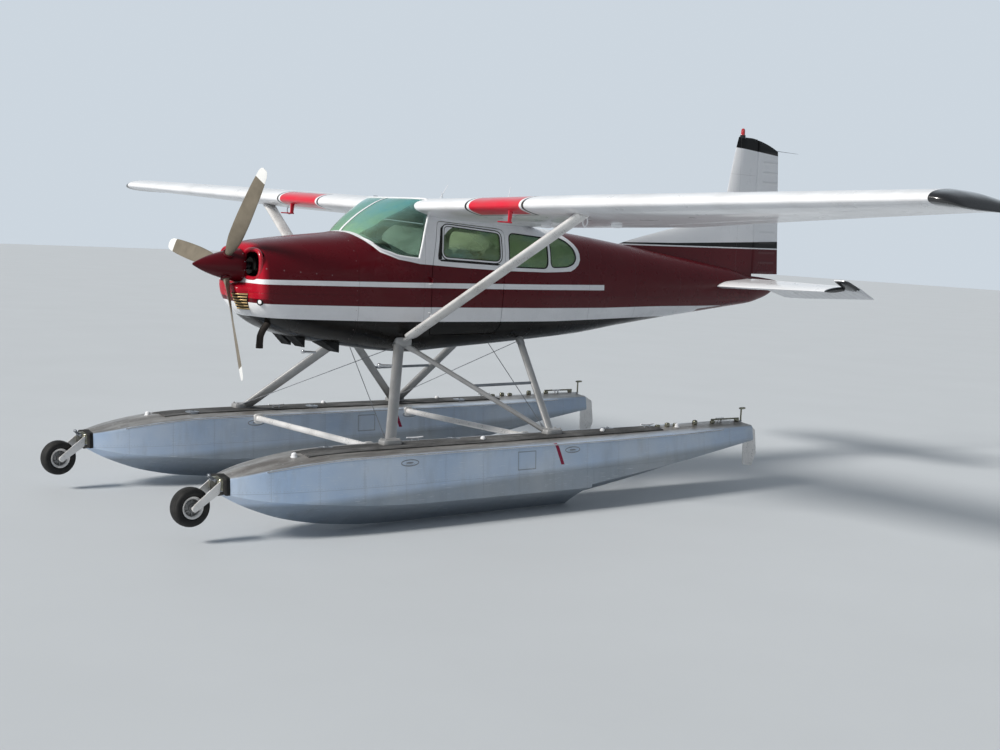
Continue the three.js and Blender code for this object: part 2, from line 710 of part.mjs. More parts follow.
// Rudder rows: height, trailing edge, half thickness at the hinge
const RUDDER_ROWS = [
  [0.742, 6.43, 0.034],
  [2.219, 6.302, 0.024],
];
function hingedRow(rows, hinge, place) {
  return loft(rows.map(([level, edge, half]) => {
    const ring = [];
    for (let i = 0; i <= NOSE_STEPS; i += 1) {
      const a = Math.PI / 2 + (Math.PI * i) / NOSE_STEPS;
      ring.push(place(hinge + half * Math.cos(a), half * Math.sin(a), level));
    }
    ring.push(place(edge, -0.004, level), place(edge, 0.004, level));
    return ring;
  }));
}
const RUDDER_PIN = { radius: 0.01, low: 0.668, high: 0.78 };
const rudderPin = (radius, low) => rod(
  at(RUDDER_HINGE, 0, low), at(RUDDER_HINGE, 0, RUDDER_PIN.high), radius, PIN_SIDES,
);
const rudder = join(
  hingedRow(RUDDER_ROWS, RUDDER_HINGE, (s, y, z) => at(s, y, z)),
  rudderPin(RUDDER_PIN.radius, RUDDER_PIN.low),
);

// Stabiliser, which rises towards the elevator hinge. Rows: y, leading edge, half thickness
const STABILISER_ROWS = [
  [-STABILISER_TIP_Y, 5.445, 0.027],
  [-0.1, 5.165, 0.042],
  [0.1, 5.165, 0.042],
  [STABILISER_TIP_Y, 5.445, 0.027],
];
const stabiliserPoint = (s, h, y) => at(
  s, y, ELEVATOR_HINGE_Z + h - STABILISER_RISE * (ELEVATOR_HINGE - s),
);

function stabiliserSolid(grow) {
  const rear = ELEVATOR_HINGE - COVE + grow;
  return loft(STABILISER_ROWS.map(([y, nose, half]) => [
    [nose - grow, 0], [nose + 0.06, half * 0.7 + grow], [nose + 0.22, half + grow],
    [rear, half * 0.85 + grow], [rear, -half * 0.85 - grow],
    [nose + 0.22, -half - grow], [nose + 0.06, -half * 0.7 - grow],
  ].map(([s, h]) => stabiliserPoint(s, h, y))));
}

// Elevator, which rests drooped on its stop. Rows: y, trailing edge undrooped, half thickness
const ELEVATOR_ROWS = [
  [0.125, 6.04, 0.034],
  [0.29, 6.33, 0.033],
  [ELEVATOR_TIP_Y, 6.15, 0.023],
];
function elevatorPoint(s, h, y) {
  const back = s - ELEVATOR_HINGE;
  return at(
    ELEVATOR_HINGE + back * Math.cos(ELEVATOR_DROOP) + h * Math.sin(ELEVATOR_DROOP),
    y,
    ELEVATOR_HINGE_Z - back * Math.sin(ELEVATOR_DROOP) + h * Math.cos(ELEVATOR_DROOP),
  );
}

// Balance horn ahead of the hinge, outboard of the stabiliser. Rows: y, leading edge, half thickness
const HORN_ROWS = [
  [STABILISER_TIP_Y + 0.012, 5.575, 0.02],
  [ELEVATOR_TIP_Y, 5.59, 0.016],
];
const horn = loft(HORN_ROWS.map(([y, nose, half]) => [
  [nose, -0.004], [nose, 0.004], [nose + 0.05, half], [ELEVATOR_HINGE, half],
  [ELEVATOR_HINGE, -half], [nose + 0.05, -half],
].map(([s, h]) => elevatorPoint(s, h, y))));
const elevatorHalf = join(hingedRow(ELEVATOR_ROWS, ELEVATOR_HINGE, elevatorPoint), horn);
const TORQUE_TUBE = 0.02;
const TUBE_SIDES = 24;
const tubeAlong = (reach, radius) => rod(
  at(ELEVATOR_HINGE, -reach, ELEVATOR_HINGE_Z), at(ELEVATOR_HINGE, reach, ELEVATOR_HINGE_Z),
  radius, TUBE_SIDES,
);
const elevator = join(elevatorHalf, mirrored(elevatorHalf), tubeAlong(0.14, TORQUE_TUBE));
const tubeSlot = tubeAlong(0.2, boreRadius(TORQUE_TUBE, TUBE_SIDES));
// The tailcone is hollow from the cabin's rear wall to a little ahead of the stabiliser
const TAIL_HOLLOW_ROWS = 4;
const tailHollow = hull(TAIL_STATIONS.slice(0, TAIL_HOLLOW_ROWS), -CABIN_WALL, 0.02);
const tailcone = hull(TAIL_STATIONS).subtract(tailHollow)
  .subtract(stabiliserSolid(SEAT_GAP)).subtract(tubeSlot)
  .subtract(rudderPin(boreRadius(RUDDER_PIN.radius, PIN_SIDES), RUDDER_PIN.low - 0.004));
const finFitted = mainPiece(fin.subtract(hull(TAIL_STATIONS, SEAT_GAP)).subtract(cabinClear));

// Beacon on the fin tip: a glass on a collar
const BEACON_STATION = 5.655;
const finTop = FIN_ROWS[FIN_ROWS.length - 1][0];
const beacon = turned(
  [[0.033, 0], [0.033, 0.022], [0.025, 0.024], [0.0235, 0.085], [0.012, 0.1]],
  16, at(BEACON_STATION, 0, finTop + SEAT_GAP), [0, 0, 1],
);

// Propeller: pointed spinner, hub with shaft, three blades
const nose = (s) => at(s, 0, PROP_AXIS_Z);
const SPINNER_PROFILE = [
  [0.0005, SPINNER_TIP], [0.022, -1.395], [0.058, -1.32], [0.095, -1.22],
  [0.123, -1.12], [0.142, -1.03], [SPINNER_RADIUS, SPINNER_BASE],
];
const SPINNER_HOLLOW = [
  [0.02, -1.36], [0.089, -1.22], [0.117, -1.12], [0.136, -1.03], [0.143, -0.98],
];
const SPINNER_SEGMENTS = 28;
const spinnerTurned = (profile) => turned(
  profile.map(([r, s]) => [r, -s]), SPINNER_SEGMENTS, nose(0), [1, 0, 0],
);
const SHAFT_RADIUS = 0.036;
const HUB_RADIUS = 0.085;
const HUB_HALF = 0.06;
const ENGINE_FRONT = -0.86;
const hub = join(
  turned([[HUB_RADIUS, -HUB_HALF], [HUB_RADIUS, HUB_HALF]], 16, nose(PROP_STATION), [1, 0, 0]),
  rod(nose(PROP_STATION), nose(ENGINE_FRONT - SEAT_GAP), SHAFT_RADIUS, 16),
);
const shaftClear = rod(nose(-1.1), nose(SPINNER_BASE + 0.05), SHAFT_RADIUS + SEAT_GAP, 16);

// Blade rows: radius, chord, thickness, pitch angle
const BLADE_ROWS = [
  [0.06, 0.064, 0.064, 1.0],
  [0.135, 0.066, 0.06, 0.95],
  [0.2, 0.098, 0.034, 0.8],
  [0.32, 0.136, 0.022, 0.64],
  [0.55, 0.152, 0.015, 0.46],
  [0.8, 0.142, 0.011, 0.36],
  [0.97, 0.12, 0.008, 0.31],
  [1.04, 0.085, 0.006, 0.3],
  [PROP_RADIUS, 0.03, 0.004, 0.3],
];
const hubClear = turned(
  [[HUB_RADIUS + SEAT_GAP, -0.1], [HUB_RADIUS + SEAT_GAP, 0.1]], 16, nose(PROP_STATION), [1, 0, 0],
);
const BLADE_POINTS = 10;
function blade(index) {
  const angle = PROP_FIRST_BLADE - (index * 2 * Math.PI) / 3;
  const out = [0, Math.sin(angle), Math.cos(angle)];
  const side = [0, Math.cos(angle), -Math.sin(angle)];
  return loft(BLADE_ROWS.map(([r, chord, thick, pitch]) => {
    const ring = [];
    for (let i = 0; i < BLADE_POINTS; i += 1) {
      const a = (2 * Math.PI * i) / BLADE_POINTS;
      const u = Math.cos(a) * chord * 0.5;
      const v = Math.sin(a) * thick * 0.5;
      const along = u * Math.cos(pitch) + v * Math.sin(pitch);
      const fore = v * Math.cos(pitch) - u * Math.sin(pitch);
      ring.push(at(
        PROP_STATION - fore,
        out[1] * r + side[1] * along,
        PROP_AXIS_Z + out[2] * r + side[2] * along,
      ));
    }
    return ring;
  })).subtract(hubClear);
}
const BLADE_HOLE = 0.05;
const bladeHoles = [0, 1, 2].map((index) => {
  const angle = PROP_FIRST_BLADE - (index * 2 * Math.PI) / 3;
  const reach = 0.25;
  return rod(
    nose(PROP_STATION),
    at(PROP_STATION, Math.sin(angle) * reach, PROP_AXIS_Z + Math.cos(angle) * reach),
    BLADE_HOLE, 14,
  );
});
const spinner = spinnerTurned(SPINNER_PROFILE).subtract(spinnerTurned(SPINNER_HOLLOW))
  .subtract(shaftClear).subtract(join(...bladeHoles));

// Cowl with its chin, and the stations of its cavity
let cowl = join(hull(COWL_STATIONS), hull(CHIN_STATIONS));
const COWL_CAVITY = [
  [-0.925, 0.375, 0.24, 0.855, 3.0, 0],
  [-0.87, 0.412, 0.178, 0.886, 3.0, 0],
  [-0.7, 0.44, 0.116, 0.914, 3.0, 0],
  [-0.35, 0.47, 0.036, 0.958, 3.2, 0],
  [0.02, 0.494, -0.021, 0.999, 3.4, 0],
];
cowl = cowl.subtract(hull(COWL_CAVITY));
cowl = cowl.subtract(rod(nose(-1.2), nose(-0.8), SHAFT_RADIUS + RUNNING_GAP, 16));

// Cooling inlets beside the spinner, squarish ovals given by their middle and half sizes
const INLET = { y: 0.215, z: 0.705, halfY: 0.12, halfZ: 0.118, points: 12, round: 0.6 };
const inlet = loft([-1.1, -0.85].map((s) => {
  const ring = [];
  for (let i = 0; i < INLET.points; i += 1) {
    const a = (2 * Math.PI * i) / INLET.points;
    const y = INLET.y + signedPower(Math.cos(a), INLET.round) * INLET.halfY;
    ring.push(at(s, y, INLET.z + signedPower(Math.sin(a), INLET.round) * INLET.halfZ));
  }
  return ring;
}));
cowl = cowl.subtract(inlet).subtract(mirrored(inlet));

// Engine: one block with its rear case and crank nose
const ENGINE = { y: 0.32, z0: 0.47, z1: 0.8 };
const engineCrank = rod(nose(ENGINE_FRONT), nose(-0.5), 0.09, 16);
const engineBlock = join(
  block(-0.76, -0.22, -ENGINE.y, ENGINE.y, ENGINE.z0, ENGINE.z1),
  block(-0.3, FIREWALL - SEAT_GAP, -0.2, 0.2, 0.45, 0.75),
  engineCrank,
);

// Exhaust pipe: down from the engine, forward through the cowl and down again
const EXHAUST_SIDES = 14;
const EXHAUST_PATH = [
  [-0.7, 0.2, ENGINE.z0 - SEAT_GAP], [-0.7, 0.2, 0.27], [-0.84, 0.2, 0.07], [-0.84, 0.2, -0.035],
];
function exhaustSolid(radius) {
  const bends = EXHAUST_PATH.slice(1, -1).map((p) => turned(
    [[radius, -radius / 2], [radius, radius / 2]], EXHAUST_SIDES, at(...p), [0, 0, 1],
  ));
  const runs = EXHAUST_PATH.slice(1).map((p, i) => rod(
    at(...EXHAUST_PATH[i]), at(...p), radius, EXHAUST_SIDES,
  ));
  return join(...runs, ...bends);
}
const exhaust = exhaustSolid(0.031);
cowl = cowl.subtract(exhaustSolid(0.037));

add('airframe', 'cowl', 'paint_maroon', cowl);
add('airframe', 'engine_block', 'engine_grey', engineBlock);
add('airframe', 'exhaust', 'steel', exhaust);
add('propeller', 'spinner', 'paint_maroon', spinner);
add('propeller', 'propeller_hub', 'steel', hub);
for (const index of [0, 1, 2]) {
  add('propeller', `propeller_blade_${index + 1}`, 'blade_grey', blade(index));
}
add('airframe', 'tailcone', 'paint_maroon', tailcone);
add('airframe', 'fin', 'paint_white', finFitted);
add('airframe', 'beacon', 'paint_maroon', beacon);
add('rudder', 'rudder', 'paint_white', rudder);
add('airframe', 'stabiliser', 'paint_white', stabiliserSolid(0));
add('elevator', 'elevator', 'paint_white', elevator);

// Glass
const screenCut = sideSlab(
  offsetOutline(SCREEN_OPENING, -SEAT_GAP), -SIDE_REACH[1], SIDE_REACH[1],
);
const screenPane = mainPiece(paneSkin.intersect(screenCut));
add('airframe', 'windscreen', 'clear_acrylic', screenPane);

// Door leaf with its window opening
const DOOR_GAP = 0.006;
const doorSolid = cabinSkin.intersect(opening(DOOR_OUTLINE, -DOOR_GAP))
  .subtract(opening(DOOR_WINDOW));

// Door hinges: a knuckle on the door turns on a pin between two lugs of the cabin
const DOOR_AXIS = { s: 0.797, y: 0.549 };
const DOOR_HINGE_Z = [0.27, 0.6];
const KNUCKLE_HALF = 0.022;
const LUG_THICKNESS = 0.012;
const KNUCKLE_RADIUS = 0.012;
const DOOR_PIN_RADIUS = 0.005;
const doorAxisAt = (z) => at(DOOR_AXIS.s, DOOR_AXIS.y, z);
const knuckles = join(...DOOR_HINGE_Z.map((z) => join(
  rod(doorAxisAt(z - KNUCKLE_HALF), doorAxisAt(z + KNUCKLE_HALF), KNUCKLE_RADIUS, PIN_SIDES),
  block(DOOR_AXIS.s, 0.835, 0.52, DOOR_AXIS.y, z - KNUCKLE_HALF, z + KNUCKLE_HALF)
    .subtract(block(0.7, 0.807, 0.4, DOOR_AXIS.y - 0.01, 0, 1)),
)));
const doorPins = (radius) => join(...DOOR_HINGE_Z.map((z) => rod(
  doorAxisAt(z - KNUCKLE_HALF - LUG_THICKNESS), doorAxisAt(z + KNUCKLE_HALF + LUG_THICKNESS),
  radius, PIN_SIDES,
)));
const doorLugs = join(doorPins(DOOR_PIN_RADIUS), ...DOOR_HINGE_Z.flatMap((z) => [-1, 1].map((side) => {
  const near = z + side * (KNUCKLE_HALF + SEAT_GAP);
  const far = z + side * (KNUCKLE_HALF + LUG_THICKNESS);
  const [low, high] = [near, far].sort((a, b) => a - b);
  return block(0.765, DOOR_AXIS.s + 0.004, 0.52, DOOR_AXIS.y + 0.008, low, high);
})));
const doorHung = join(doorSolid, knuckles)
  .subtract(doorPins(boreRadius(DOOR_PIN_RADIUS, PIN_SIDES)));
const doorPane = paneSkin.intersect(opening(DOOR_WINDOW, -SEAT_GAP));
const sidePane = paneSkin.intersect(opening(SIDE_WINDOW, -SEAT_GAP));
const rearPane = paneSkin.intersect(opening(REAR_WINDOW, -SEAT_GAP));

// Instrument panel with its cover, inside the cabin
const inside = cabinSolid(-CABIN_WALL - SEAT_GAP, -CABIN_WALL - SEAT_GAP);
const PANEL_OUTLINE = [
  [0.3, 0.55], [0.35, 0.55], [0.37, 0.93], [0.37, 0.965], [0.2, 0.975], [0.2, 0.95], [0.33, 0.93],
];
const panel = sideSlab(PANEL_OUTLINE, -0.6, 0.6).intersect(inside);
add('airframe', 'instrument_panel', 'panel_black', panel);

// Seats: cushion, leaning back and a foot on the floor
const FLOOR_TOP = (s) => mix(0.02, 0.075, (s - 0.031) / (2.2 - 0.031));
function seatSolid(front, y0, y1) {
  const rear = front + 0.46;
  const low = FLOOR_TOP(front + 0.1) + SEAT_GAP;
  const foot = sideSlab([
    [front + 0.08, FLOOR_TOP(front + 0.08) + SEAT_GAP],
    [rear - 0.05, FLOOR_TOP(rear - 0.05) + SEAT_GAP],
    [rear - 0.05, low + 0.22],
    [front + 0.08, low + 0.22],
  ], y0 + 0.06, y1 - 0.06);
  const cushion = sideSlab([
    [front, low + 0.2], [rear, low + 0.18], [rear, low + 0.3], [front + 0.02, low + 0.33],
  ], y0, y1);
  const back = sideSlab([
    [rear - 0.02, low + 0.2], [rear + 0.1, low + 0.2],
    [rear + 0.2, low + 0.86], [rear + 0.13, low + 0.88],
  ], y0 + 0.01, y1 - 0.01);
  return join(foot, cushion, back);
}
add('airframe', 'seat_front_left', 'tan_fabric', seatSolid(0.86, 0.035, 0.46));
add('airframe', 'seat_front_right', 'tan_fabric', mirrored(seatSolid(0.86, 0.035, 0.46)));
add('airframe', 'seat_rear', 'tan_fabric', seatSolid(1.62, -0.42, 0.42));

cabin = join(cabin, doorLugs, mirrored(doorLugs));
add('airframe', 'cabin', 'paint_maroon', cabin);

const SIDES = [['left', 1], ['right', -1]];
for (const [side, sign] of SIDES) {
  const put = (solid) => (sign > 0 ? solid : mirrored(solid));
  add(`door_${side}`, `door_${side}`, 'paint_maroon', put(doorHung));
  add(`door_${side}`, `window_door_${side}`, 'clear_acrylic', put(doorPane));
  add('airframe', `window_side_${side}`, 'clear_acrylic', put(sidePane));
  add('airframe', `window_rear_${side}`, 'clear_acrylic', put(rearPane));
  add('airframe', `wing_${side}`, 'paint_white', put(wing));
  add('airframe', `wing_tip_${side}`, 'paint_black', put(tip));
  add(`flap_${side}`, `flap_${side}`, 'paint_white', put(flap));
  add(`aileron_${side}`, `aileron_${side}`, 'paint_white', put(aileron));
  add('airframe', `wing_strut_${side}`, 'bare_aluminium', put(wingStrut));
  add('airframe', `float_struts_${side}`, 'bare_aluminium', put(truss));
  add('airframe', `float_${side}`, 'float_aluminium', put(floatHull));
}
for (const [name, s] of SPREADERS) {
  const bar = rod(at(s, -FLOAT_Y, SPREADER_Z), at(s, FLOAT_Y, SPREADER_Z), SPREADER_RADIUS, 12)
    .subtract(floatClear).subtract(mirrored(floatClear));
  add('airframe', name, 'bare_aluminium', mainPiece(bar));
}

// Bow gear: cap on the bow, two fork plates and the axle
const FORK_Y = 0.082;
const FORK_PLATE = 0.01;
const AXLE_RADIUS = 0.014;
const BOW_FACE = -1.815;
const cap = loft([
  [BOW_FACE - SEAT_GAP, 0.115, -1.105, -0.94],
  [BOW_FACE - 0.06, 0.105, -1.09, -0.95],
].map(([s, half, z0, z1]) => [
  at(s, FLOAT_Y - half, z0), at(s, FLOAT_Y + half, z0),
  at(s, FLOAT_Y + half, z1), at(s, FLOAT_Y - half, z1),
]));
const forkPlate = (y) => sideSlab([
  [BOW_FACE - 0.03, -1.08], [BOW_FACE - 0.03, -0.99], [WHEEL_STATION - 0.02, WHEEL_Z + 0.03],
  [WHEEL_STATION - 0.03, WHEEL_Z - 0.03], [WHEEL_STATION + 0.02, WHEEL_Z - 0.035],
], y - FORK_PLATE / 2, y + FORK_PLATE / 2);
const axle = rod(
  at(WHEEL_STATION, FLOAT_Y - FORK_Y - 0.012, WHEEL_Z),
  at(WHEEL_STATION, FLOAT_Y + FORK_Y + 0.012, WHEEL_Z), AXLE_RADIUS, 12,
);
const fork = join(cap, forkPlate(FLOAT_Y - FORK_Y), forkPlate(FLOAT_Y + FORK_Y), axle);
const AXLE_SIDES = 12;
const wheelAxis = [0, 1, 0];
const wheelCentre = at(WHEEL_STATION, FLOAT_Y, WHEEL_Z);
const TYRE_PROFILE = [
  [RIM_RADIUS + SEAT_GAP, -0.045], [0.11, -0.06], [0.14, -TYRE_HALF_WIDTH],
  [0.155, -0.04], [TYRE_RADIUS, 0], [0.155, 0.04], [0.14, TYRE_HALF_WIDTH],
  [0.11, 0.06], [RIM_RADIUS + SEAT_GAP, 0.045],
];
const WHEEL_SEGMENTS = 24;
const tyre = turned(TYRE_PROFILE, WHEEL_SEGMENTS, wheelCentre, wheelAxis).subtract(
  turned([[RIM_RADIUS + SEAT_GAP, -0.05], [RIM_RADIUS + SEAT_GAP, 0.05]], WHEEL_SEGMENTS,
    wheelCentre, wheelAxis),
);
const rim = turned([
  [0.05, -0.062], [0.055, -0.045], [RIM_RADIUS, -0.045],
  [RIM_RADIUS, 0.045], [0.055, 0.045], [0.05, 0.062],
], WHEEL_SEGMENTS, wheelCentre, wheelAxis)
  .subtract(rod(
    at(WHEEL_STATION, FLOAT_Y - 0.1, WHEEL_Z), at(WHEEL_STATION, FLOAT_Y + 0.1, WHEEL_Z),
    boreRadius(AXLE_RADIUS, AXLE_SIDES), AXLE_SIDES,
  ));

// Water rudder: post on the transom and a blade that hangs into the water
const TRANSOM = 4.38;
const WATER_RUDDER_PIVOT = 4.44;
const rudderPost = join(
  block(TRANSOM + SEAT_GAP, TRANSOM + 0.012, FLOAT_Y - 0.02, FLOAT_Y + 0.02, -0.93, -0.79),
  rod(at(WATER_RUDDER_PIVOT, FLOAT_Y, -0.93), at(WATER_RUDDER_PIVOT, FLOAT_Y, -0.79), 0.008, 10),
  block(TRANSOM + 0.005, WATER_RUDDER_PIVOT + 0.012, FLOAT_Y - 0.012, FLOAT_Y + 0.012,
    -0.93, -0.918),
  block(TRANSOM + 0.005, WATER_RUDDER_PIVOT + 0.012, FLOAT_Y - 0.012, FLOAT_Y + 0.012,
    -0.802, -0.79),
);
const waterRudder = join(
  turned([[0.022, -0.9 + 0.86], [0.022, 0.04]], 14, at(WATER_RUDDER_PIVOT, FLOAT_Y, -0.86), [0, 0, 1]),
  sideSlab([
    [WATER_RUDDER_PIVOT, -0.895], [WATER_RUDDER_PIVOT + 0.06, -0.9],
    [WATER_RUDDER_PIVOT + 0.07, -1.27], [WATER_RUDDER_PIVOT + 0.22, -1.3],
    [WATER_RUDDER_PIVOT + 0.28, -1.16], [WATER_RUDDER_PIVOT + 0.24, -0.9],
    [WATER_RUDDER_PIVOT + 0.1, -0.83], [WATER_RUDDER_PIVOT, -0.825],
  ], FLOAT_Y - 0.005, FLOAT_Y + 0.005),
).subtract(rod(
  at(WATER_RUDDER_PIVOT, FLOAT_Y, -1.0), at(WATER_RUDDER_PIVOT, FLOAT_Y, -0.5),
  boreRadius(0.008, 10), 10,
));
for (const [side, sign] of SIDES) {
  const put = (solid) => (sign > 0 ? solid : mirrored(solid));
  add('airframe', `bow_fork_${side}`, 'steel', put(fork));
  add(`nose_wheel_${side}`, `nose_tyre_${side}`, 'tyre_rubber', put(tyre));
  add(`nose_wheel_${side}`, `nose_rim_${side}`, 'bare_aluminium', put(rim));
  add('airframe', `water_rudder_post_${side}`, 'steel', put(rudderPost));
  add(`water_rudder_${side}`, `water_rudder_${side}`, 'bare_aluminium', put(waterRudder));
}

export default root;
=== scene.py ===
import json
import math

import bmesh
import bpy
import numpy as np
from mathutils import Matrix, Vector

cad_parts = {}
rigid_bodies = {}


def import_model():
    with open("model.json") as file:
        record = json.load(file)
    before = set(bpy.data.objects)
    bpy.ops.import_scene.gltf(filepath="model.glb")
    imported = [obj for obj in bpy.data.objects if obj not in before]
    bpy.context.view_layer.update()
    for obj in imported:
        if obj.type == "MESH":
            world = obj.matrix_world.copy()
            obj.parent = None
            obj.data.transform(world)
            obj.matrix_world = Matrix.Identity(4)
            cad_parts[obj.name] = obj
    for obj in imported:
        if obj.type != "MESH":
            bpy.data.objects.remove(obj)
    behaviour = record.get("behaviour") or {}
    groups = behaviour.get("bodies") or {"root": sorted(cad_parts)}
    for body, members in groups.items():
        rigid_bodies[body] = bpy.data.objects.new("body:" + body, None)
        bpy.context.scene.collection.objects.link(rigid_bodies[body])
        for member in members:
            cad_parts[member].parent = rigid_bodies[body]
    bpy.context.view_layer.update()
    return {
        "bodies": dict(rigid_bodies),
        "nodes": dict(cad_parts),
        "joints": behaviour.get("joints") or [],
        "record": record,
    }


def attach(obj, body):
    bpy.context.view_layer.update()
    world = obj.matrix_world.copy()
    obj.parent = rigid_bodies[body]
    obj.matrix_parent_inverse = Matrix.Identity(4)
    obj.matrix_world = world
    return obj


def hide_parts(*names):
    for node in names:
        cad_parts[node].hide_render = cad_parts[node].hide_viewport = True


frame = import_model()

# Frame of the drawing: s runs aft from the firewall, y runs to port, z runs up
# from the lower cabin side. All sizes are in metres.
MIDDLE_STATION = 2.105
KEEL_DEPTH = 1.487
PI = math.pi
# Places that several pieces share: the propeller's axis, the floats' middle planes, the axles
# of the bow wheels, the door hinges, the roof edge over the windscreen, the elevator's hinge
PROP_AXIS_Z = 0.682
FLOAT_Y = 1.297
WHEEL_S, WHEEL_Z = -2.06, -1.19
DOOR_HINGE_S, DOOR_HINGE_Y = 0.797, 0.549
SCREEN_TOP = 1.364
ELEVATOR_HINGE, ELEVATOR_HINGE_Z = 5.84, 0.652
# Radius at which a turned profile meets its axis, and the hairline left between neighbours
POINT = 0.0005
HAIR = 0.0003


def place(s, y, z):
    """Points of the scene from station, distance to port and height, which may be arrays."""
    s, y, z = np.broadcast_arrays(s, y, z)
    return np.stack([MIDDLE_STATION - s, y, z + KEEL_DEPTH], axis=-1).astype(float)


def curve(x, xs, ys):
    """Smooth line through points: cubic pieces between them, whose slope at each point is the
    harmonic mean of its two neighbours' slopes, or level where those differ in sign."""
    xs, ys, x = np.asarray(xs, float), np.asarray(ys, float), np.asarray(x, float)
    h = np.diff(xs)
    d = np.diff(ys) / h
    slope = np.zeros(len(xs))
    slope[0], slope[-1] = d[0], d[-1]
    if len(xs) > 2:
        w1, w2 = 2 * h[1:] + h[:-1], h[1:] + 2 * h[:-1]
        same = d[:-1] * d[1:] > 0
        under = np.where(same, w1 * d[1:] + w2 * d[:-1], 1)
        slope[1:-1] = np.where(same, (w1 + w2) * d[:-1] * d[1:] / under, 0)
    i = np.clip(np.searchsorted(xs, x, "right") - 1, 0, len(xs) - 2)
    t = np.clip((x - xs[i]) / h[i], 0, 1)
    a, b = 2 * t**3 - 3 * t**2 + 1, t**3 - 2 * t**2 + t
    e, f = 3 * t**2 - 2 * t**3, t**3 - t**2
    return a * ys[i] + b * h[i] * slope[i] + e * ys[i + 1] + f * h[i] * slope[i + 1]


def columns(x, table):
    """Every column of a table after the first, read smoothly at x of the first column."""
    rows = np.asarray(table, float)
    return [curve(x, rows[:, 0], rows[:, k]) for k in range(1, rows.shape[1])]


def power(v, e):
    """Value to a power with its sign kept."""
    return np.sign(v) * np.abs(v) ** e


def unit(v):
    """Vectors divided by their own lengths."""
    v = np.asarray(v, float)
    return v / np.maximum(np.linalg.norm(v, axis=-1, keepdims=True), 1e-12)


# Surfaces. A shell is points, quads, triangles and a number for its material.
def grid(points, around_rows=False, around_columns=True, caps=False):
    """Skin of a grid of points, one quad between each four neighbours. Rows or columns may run
    round and close, and caps closes the first and last row with a fan about its middle."""
    n, m = points.shape[:2]
    i = np.arange(n if around_rows else n - 1)[:, None]
    j = np.arange(m if around_columns else m - 1)[None, :]
    k, l = (i + 1) % n, (j + 1) % m
    quads = np.stack([i * m + j, i * m + l, k * m + l, k * m + j], -1).reshape(-1, 4)
    flat = points.reshape(-1, 3)
    fans = np.zeros((0, 3), int)
    if caps:
        j = np.arange(m)
        l = (j + 1) % m
        flat = np.vstack([flat, points[0].mean(0), points[-1].mean(0)])
        top = np.stack([l, j, np.full(m, n * m)], -1)
        end = np.stack([(n - 1) * m + j, (n - 1) * m + l, np.full(m, n * m + 1)], -1)
        fans = np.vstack([top, end])
    if (caps or around_rows) and volume(flat, quads, fans) < 0:
        quads, fans = quads[:, ::-1], fans[:, ::-1]
    return flat, quads, fans, 0


def volume(points, quads, fans):
    """Signed volume inside the faces, summed over the pyramids from the origin."""
    t = np.vstack([quads[:, [0, 1, 2]], quads[:, [0, 2, 3]], fans])
    a, b, c = points[t[:, 0]], points[t[:, 1]], points[t[:, 2]]
    return float((a * np.cross(b, c)).sum())


def mirrored(shell):
    """Shell on the other side of the middle plane, its faces turned so that they still face out."""
    points, quads, fans, finish = shell
    return points * [1, -1, 1], quads[:, ::-1], fans[:, ::-1], finish


def mesh_of(name, shells, sharp=32.0):
    """One mesh from shells, with doubled points at poles merged and folds over an angle kept sharp."""
    count = 0
    points, faces, finish = [], [], []
    for p, quads, fans, number in shells:
        points.append(p)
        faces += (quads + count).tolist() + (fans + count).tolist()
        finish += [number] * (len(quads) + len(fans))
        count += len(p)
    mesh = bpy.data.meshes.new(name)
    mesh.from_pydata(np.vstack(points).tolist(), [], faces)
    mesh.polygons.foreach_set("material_index", np.array(finish, np.int32))
    work = bmesh.new()
    work.from_mesh(mesh)
    bmesh.ops.remove_doubles(work, verts=work.verts, dist=1e-6)
    bmesh.ops.dissolve_degenerate(work, edges=work.edges, dist=1e-7)
    work.to_mesh(mesh)
    work.free()
    shade(mesh, sharp)
    return mesh


def shade(mesh, sharp):
    """Smooth shading, with folds over an angle kept sharp."""
    mesh.polygons.foreach_set("use_smooth", np.ones(len(mesh.polygons), bool))
    mesh.set_sharp_from_angle(angle=math.radians(sharp))
    mesh.update()


def thing(name, shells, finishes, sharp=32.0):
    """Object at the origin with its place in its mesh and its finishes in order."""
    mesh = mesh_of(name, shells, sharp)
    obj = bpy.data.objects.new(name, mesh)
    bpy.context.scene.collection.objects.link(obj)
    for finish in finishes if isinstance(finishes, (list, tuple)) else [finishes]:
        mesh.materials.append(finish)
    return obj


def piece(name, shells, finishes, body="airframe", nodes=(), slot=None, sharp=32.0):
    """Piece of the floatplane: it rides on a body and stands for CAD nodes, which it hides. Its
    slot is not used."""
    obj = thing(name, shells, finishes, sharp)
    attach(obj, body)
    if nodes:
        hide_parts(*nodes)
    return obj


def both(name, shells, finish, body="airframe", nodes=(), **more):
    """Piece on the port side and its mirror image to starboard. The side ends the names of the
    piece and its CAD nodes, and that of its body unless this is the airframe."""
    for side in ("left", "right"):
        own = shells if side == "left" else [mirrored(shell) for shell in shells]
        rides = body if body == "airframe" else f"{body}_{side}"
        piece(f"{name}_{side}", own, finish, rides, [f"{node}_{side}" for node in nodes], **more)


def carve(obj, cutters, sharp):
    """Cuts closed cutters out of an object and keeps the result as its mesh."""
    for cutter in cutters:
        mod = obj.modifiers.new("carve", "BOOLEAN")
        mod.operation, mod.solver, mod.object = "DIFFERENCE", "EXACT", cutter
    graph = bpy.context.evaluated_depsgraph_get()
    result = bpy.data.meshes.new_from_object(obj.evaluated_get(graph))
    old = obj.data
    obj.modifiers.clear()
    obj.data = result
    bpy.data.meshes.remove(old)
    for cutter in cutters:
        bpy.data.objects.remove(cutter)
    shade(obj.data, sharp)


